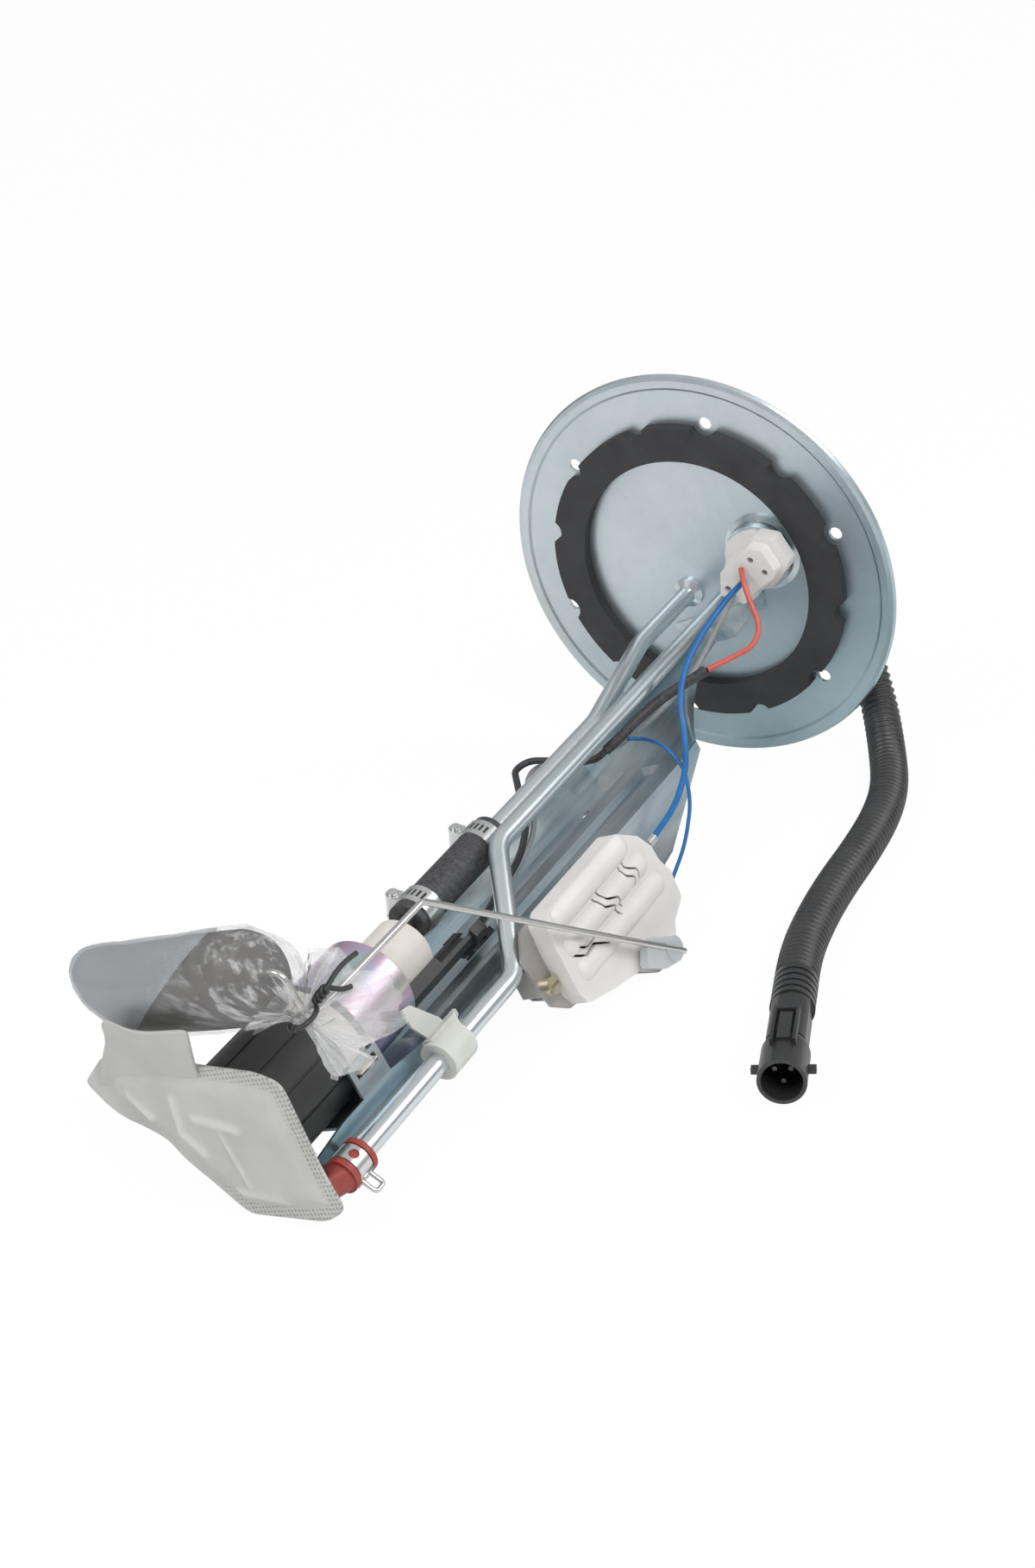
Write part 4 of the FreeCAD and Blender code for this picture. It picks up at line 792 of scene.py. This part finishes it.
def skirtPoint(s, t):
    # Point of the mouth: s from inside the pouch (-1) through the tie (0) to the rim (1).
    skirt = skirtSet
    tied = Vector(skirt["tied"])
    a = 2 * math.pi * t
    x, z = math.cos(a), math.sin(a)
    wide, long, start = skirt["crinkle"]
    crinkle = noise.noise(Vector((x * wide, z * wide, s * long + start)))
    wide, long = skirt["fine"]
    fine = noise.noise(Vector((x * wide, z * wide, s * long)))
    pleat = math.sin(a * skirt["pleats"] + skirt["twist"] * crinkle)
    if s < 0:
        ring = skirt["neck"] + skirt["gather"] * s * s * (1 + skirt["insidePleat"] * pleat)
        return laid(*(tied + Vector((x * ring * skirt["flat"], z * ring, -s * skirt["inside"]))))
    axis = Vector(skirt["axis"]).normalized()
    down = Vector(skirt["down"])
    down = (down - axis * down.dot(axis)).normalized()
    # the mouth opens flat, as a fan: wide across, far along its middle and shallow to the sides
    grow = s ** skirt["growth"]
    across = skirt["neck"] + skirt["spread"] * grow * (1 + skirt["acrossCrinkle"] * crinkle)
    through = skirt["neck"] + skirt["open"] * grow * (1 + skirt["throughPleat"] * pleat)
    deep, lobes, turn = skirt["ragged"]
    ragged = 1 + deep * math.cos(lobes * a + turn) + skirt["acrossCrinkle"] * crinkle
    far = s * (skirt["reach"] + skirt["fan"] * z ** 2) * ragged
    far += skirt["ruffle"] * s * (pleat + skirt["fineShare"] * fine)
    way = Vector((0, 0, -1)).lerp(axis, min(1.0, s * skirt["turnIn"])).normalized()
    return laid(*(tied + way * far + down * x * across + axis.cross(down) * z * through))


def makeFloat():
    # Foam float, cut away under its far end, as the film round it shows.
    count, sides, ends = floatSet["along"], floatSet["around"], floatSet["round"]
    far, near = floatSet["far"], floatSet["near"]

    def place(i, k):
        y = far + (near - far) * i / count
        rx, rz, zc = pouchSection(y)
        edge = min(1.0, (y - far) / ends, (near - y) / ends)
        less = floatSet["gap"] + ends * (1 - math.sqrt(max(0.0, 1 - (1 - edge) ** 2)))
        a = 2 * math.pi * k / sides
        return laid(bagSet["centre"] + math.cos(a) * (rx - less), y, zc + math.sin(a) * (rz - less))

    bm = bmesh.new()
    tube(bm, count, sides, place)
    piece = meshPiece(bm, "float_foam")
    for f in piece.data.polygons:
        f.use_smooth = len(f.vertices) == 4
    dress(piece, "floatFoam")
    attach(piece, "arm")
    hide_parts("float_body")
    print("float made")


def makeBag():
    bm = bmesh.new()
    along, around = bagSet["along"], bagSet["around"]
    caps = tube(bm, along, around, lambda i, k: bagPoint(i / along, k / around))
    tips = [laid(bagSet["centre"], y, z) for y, z in bagSet["tips"]]
    for v in bmesh.ops.poke(bm, faces=caps)["verts"]:
        v.co = min(tips, key=lambda tip: (tip - v.co).length)
    rows, pleats = skirtSet["along"], skirtSet["around"]
    tube(bm, rows, pleats, lambda i, k: skirtPoint(2 * i / rows - 1, k / pleats), capped=False)
    piece = meshPiece(bm, "float_bag_film")
    thick = piece.modifiers.new("film", "SOLIDIFY")
    thick.thickness = bagSet["film"] * mm
    thick.offset = -1.0
    dress(piece, "bagFilm")
    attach(piece, "arm")
    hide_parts("float_bag")
    print("bag made")


makeFloat()
makeBag()


# Plastic-coated wire tie: each strand goes half round the neck, twists with the other, then ends

tieSet = {
    "loop": (364.5, 52.6, 15.6), "across": 5.8, "deep": 4.6, "slope": 0.8, "loopSteps": 12,
    "fork": (355, 58.5, 20.0), "twist": 1.1, "turns": 2.0, "twistSteps": 24, "settle": 4,
    "ends": [(337, 59, 21), (346.8, 60.2, 14.6)], "bends": [1.26, -1.08], "endSteps": 10,
    "wire": 0.9, "sides": 12, "step": 0.6,
}


def tieStrand(hand, end, bend, phase):
    loop, fork = Vector(tieSet["loop"]), Vector(tieSet["fork"])
    points = []
    steps = tieSet["loopSteps"]
    for i in range(steps + 1):
        a = math.pi * i / steps
        points.append(loop + Vector((math.cos(a) * tieSet["across"],
                                     hand * math.sin(a) * tieSet["deep"],
                                     (2 * i / steps - 1) * tieSet["slope"])))
    start = points[-1].copy()
    way = (fork - start).normalized()
    side = way.cross(Vector((0, 0, 1))).normalized()
    lift = side.cross(way)
    steps = tieSet["twistSteps"]
    for i in range(1, steps + 1):
        a = 2 * math.pi * tieSet["turns"] * i / steps + phase
        ring = min(1.0, i / tieSet["settle"]) * tieSet["twist"]
        turned = side * math.cos(a) + lift * math.sin(a)
        points.append(start.lerp(fork, i / steps) + turned * ring)
    last = points[-1].copy()
    steps = tieSet["endSteps"]
    for i in range(1, steps + 1):
        t = i / steps
        points.append(last.lerp(Vector(end), t) + Vector((0, 0, bend * math.sin(math.pi * t))))
    return evenLine([laid(*p) for p in points], tieSet["step"] * mm)[0]


def makeTie():
    bm = bmesh.new()
    for k, hand in enumerate((1, -1)):
        line = tieStrand(hand, tieSet["ends"][k], tieSet["bends"][k], math.pi * k)
        sweep(bm, line, [tieSet["wire"] * mm] * len(line), tieSet["sides"])
    piece = meshPiece(bm, "twist_tie_wound")
    dress(piece, "blackPlastic")
    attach(piece, "arm")
    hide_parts("twist_tie")
    print("tie made")


makeTie()


# Spring clamp on the valve: the solid's band, with its ear bent from wire

clampSet = {
    "axis": (364.0, 33.8, -43.9), "ear": 38.0, "cut": 6.75, "foot": 6.35, "bend": 9.0,
    "reach": 12.4, "near": -2.2, "far": 2.4, "wire": 0.85, "sides": 12, "step": 0.4,
    "weld": 1e-6, "sharp": 35.0,
}


def makeValveClamp():
    clamp = clampSet
    axis, turn = Vector(clamp["axis"]), math.radians(clamp["ear"])
    way = Vector((0, math.sin(turn), -math.cos(turn)))
    bm = bmesh.new()
    bm.from_mesh(nodes["valve_clamp"].data)
    bmesh.ops.remove_doubles(bm, verts=bm.verts, dist=clamp["weld"])
    bmesh.ops.bisect_plane(bm, geom=bm.verts[:] + bm.edges[:] + bm.faces[:], dist=clamp["weld"],
                           plane_co=laid(*(axis + way * clamp["cut"])), plane_no=laidWay(*way),
                           clear_outer=True)
    bmesh.ops.holes_fill(bm, edges=[e for e in bm.edges if e.is_boundary])
    near, far, foot, bend, out = [clamp[k] for k in ("near", "far", "foot", "bend", "reach")]
    corners = [(near, foot), (near, bend), (near, out), (0, out), (far, out), (far, bend),
               (far, foot)]
    route = nurbsLine([laid(*(axis + Vector((x, 0, 0)) + way * r)) for x, r in corners])
    line = evenLine(route, clamp["step"] * mm)[0]
    sweep(bm, line, [clamp["wire"] * mm] * len(line), clamp["sides"])
    piece = meshPiece(bm, "valve_clamp_sprung")
    piece.data.set_sharp_from_angle(angle=math.radians(clamp["sharp"]))
    dress(piece, "stainless")
    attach(piece, "frame")
    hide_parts("valve_clamp")
    print("valve clamp made")


makeValveClamp()


# Table, world and lights

stageSet = {
    "floor": 12.0, "drop": 0.0002, "white": 0.93, "plain": 0.97, "world": 0.62,
    "sky": [(0.0, (0.35, 0.36, 0.38)), (0.45, (0.62, 0.64, 0.66)), (0.9, (1.0, 1.0, 1.0))],
    "lamps": [((0.9, 1.2, 1.5), 1.1, 18), ((-0.5, 1.3, 1.1), 1.0, 8.5),
              ((1.4, -0.6, 1.2), 1.0, 10)],  # place, size, power
    "aim": (0.2, 0.05, 0.0),
}


def makeTable():
    bm = bmesh.new()
    bmesh.ops.create_grid(bm, x_segments=1, y_segments=1, size=stageSet["floor"])
    bmesh.ops.translate(bm, verts=bm.verts, vec=(0, 0, lie["table"] * mm - stageSet["drop"]))
    table = meshPiece(bm, "table")
    material, tree, shader = nodeTree("tableWhite")
    white = stageSet["white"]
    setSockets(shader, {"Base Color": (white, white, white, 1), "Roughness": 0.9,
                        "Specular IOR Level": 0.1})
    seen = tree.nodes.new("ShaderNodeLightPath").outputs["Is Camera Ray"]
    glow = tree.nodes.new("ShaderNodeEmission")
    mix = tree.nodes.new("ShaderNodeMixShader")
    tree.links.new(mathStep(tree, "MULTIPLY", seen, stageSet["plain"]), mix.inputs[0])
    tree.links.new(shader.outputs[0], mix.inputs[1])
    tree.links.new(glow.outputs[0], mix.inputs[2])
    tree.links.new(mix.outputs[0], tree.nodes["Material Output"].inputs["Surface"])
    table.data.materials.append(material)


def makeWorld():
    # White where it is seen directly or through film, and a soft studio sky in reflections.
    world = bpy.data.worlds.new("studio")
    bpy.context.scene.world = world
    world.use_nodes = True
    tree = world.node_tree
    back = tree.nodes["Background"]
    rays = tree.nodes.new("ShaderNodeLightPath").outputs
    seen = mathStep(tree, "MAXIMUM", rays["Is Camera Ray"], rays["Is Transmission Ray"])
    tree.links.new(mapped(tree, seen, end=(stageSet["world"], 1.0)), back.inputs["Strength"])
    coords = tree.nodes.new("ShaderNodeTexCoord").outputs["Generated"]
    sky = ramp(tree, mapped(tree, axes(tree, coords)["Z"]), stageSet["sky"])
    tree.links.new(mixColour(tree, seen, sky, (1.0, 1.0, 1.0)), back.inputs["Color"])


def makeLamps():
    for k, (place, size, power) in enumerate(stageSet["lamps"]):
        data = bpy.data.lights.new("lamp%d" % k, "AREA")
        data.shape = "DISK"
        data.size = size
        data.energy = power
        lamp = link("lamp%d" % k, data)
        lamp.location = place
        aim = Vector(stageSet["aim"]) - Vector(place)
        lamp.rotation_euler = aim.to_track_quat("-Z", "Y").to_euler()


makeTable()
makeWorld()
makeLamps()
bpy.context.scene.view_settings.view_transform = "Standard"
print("stage set")
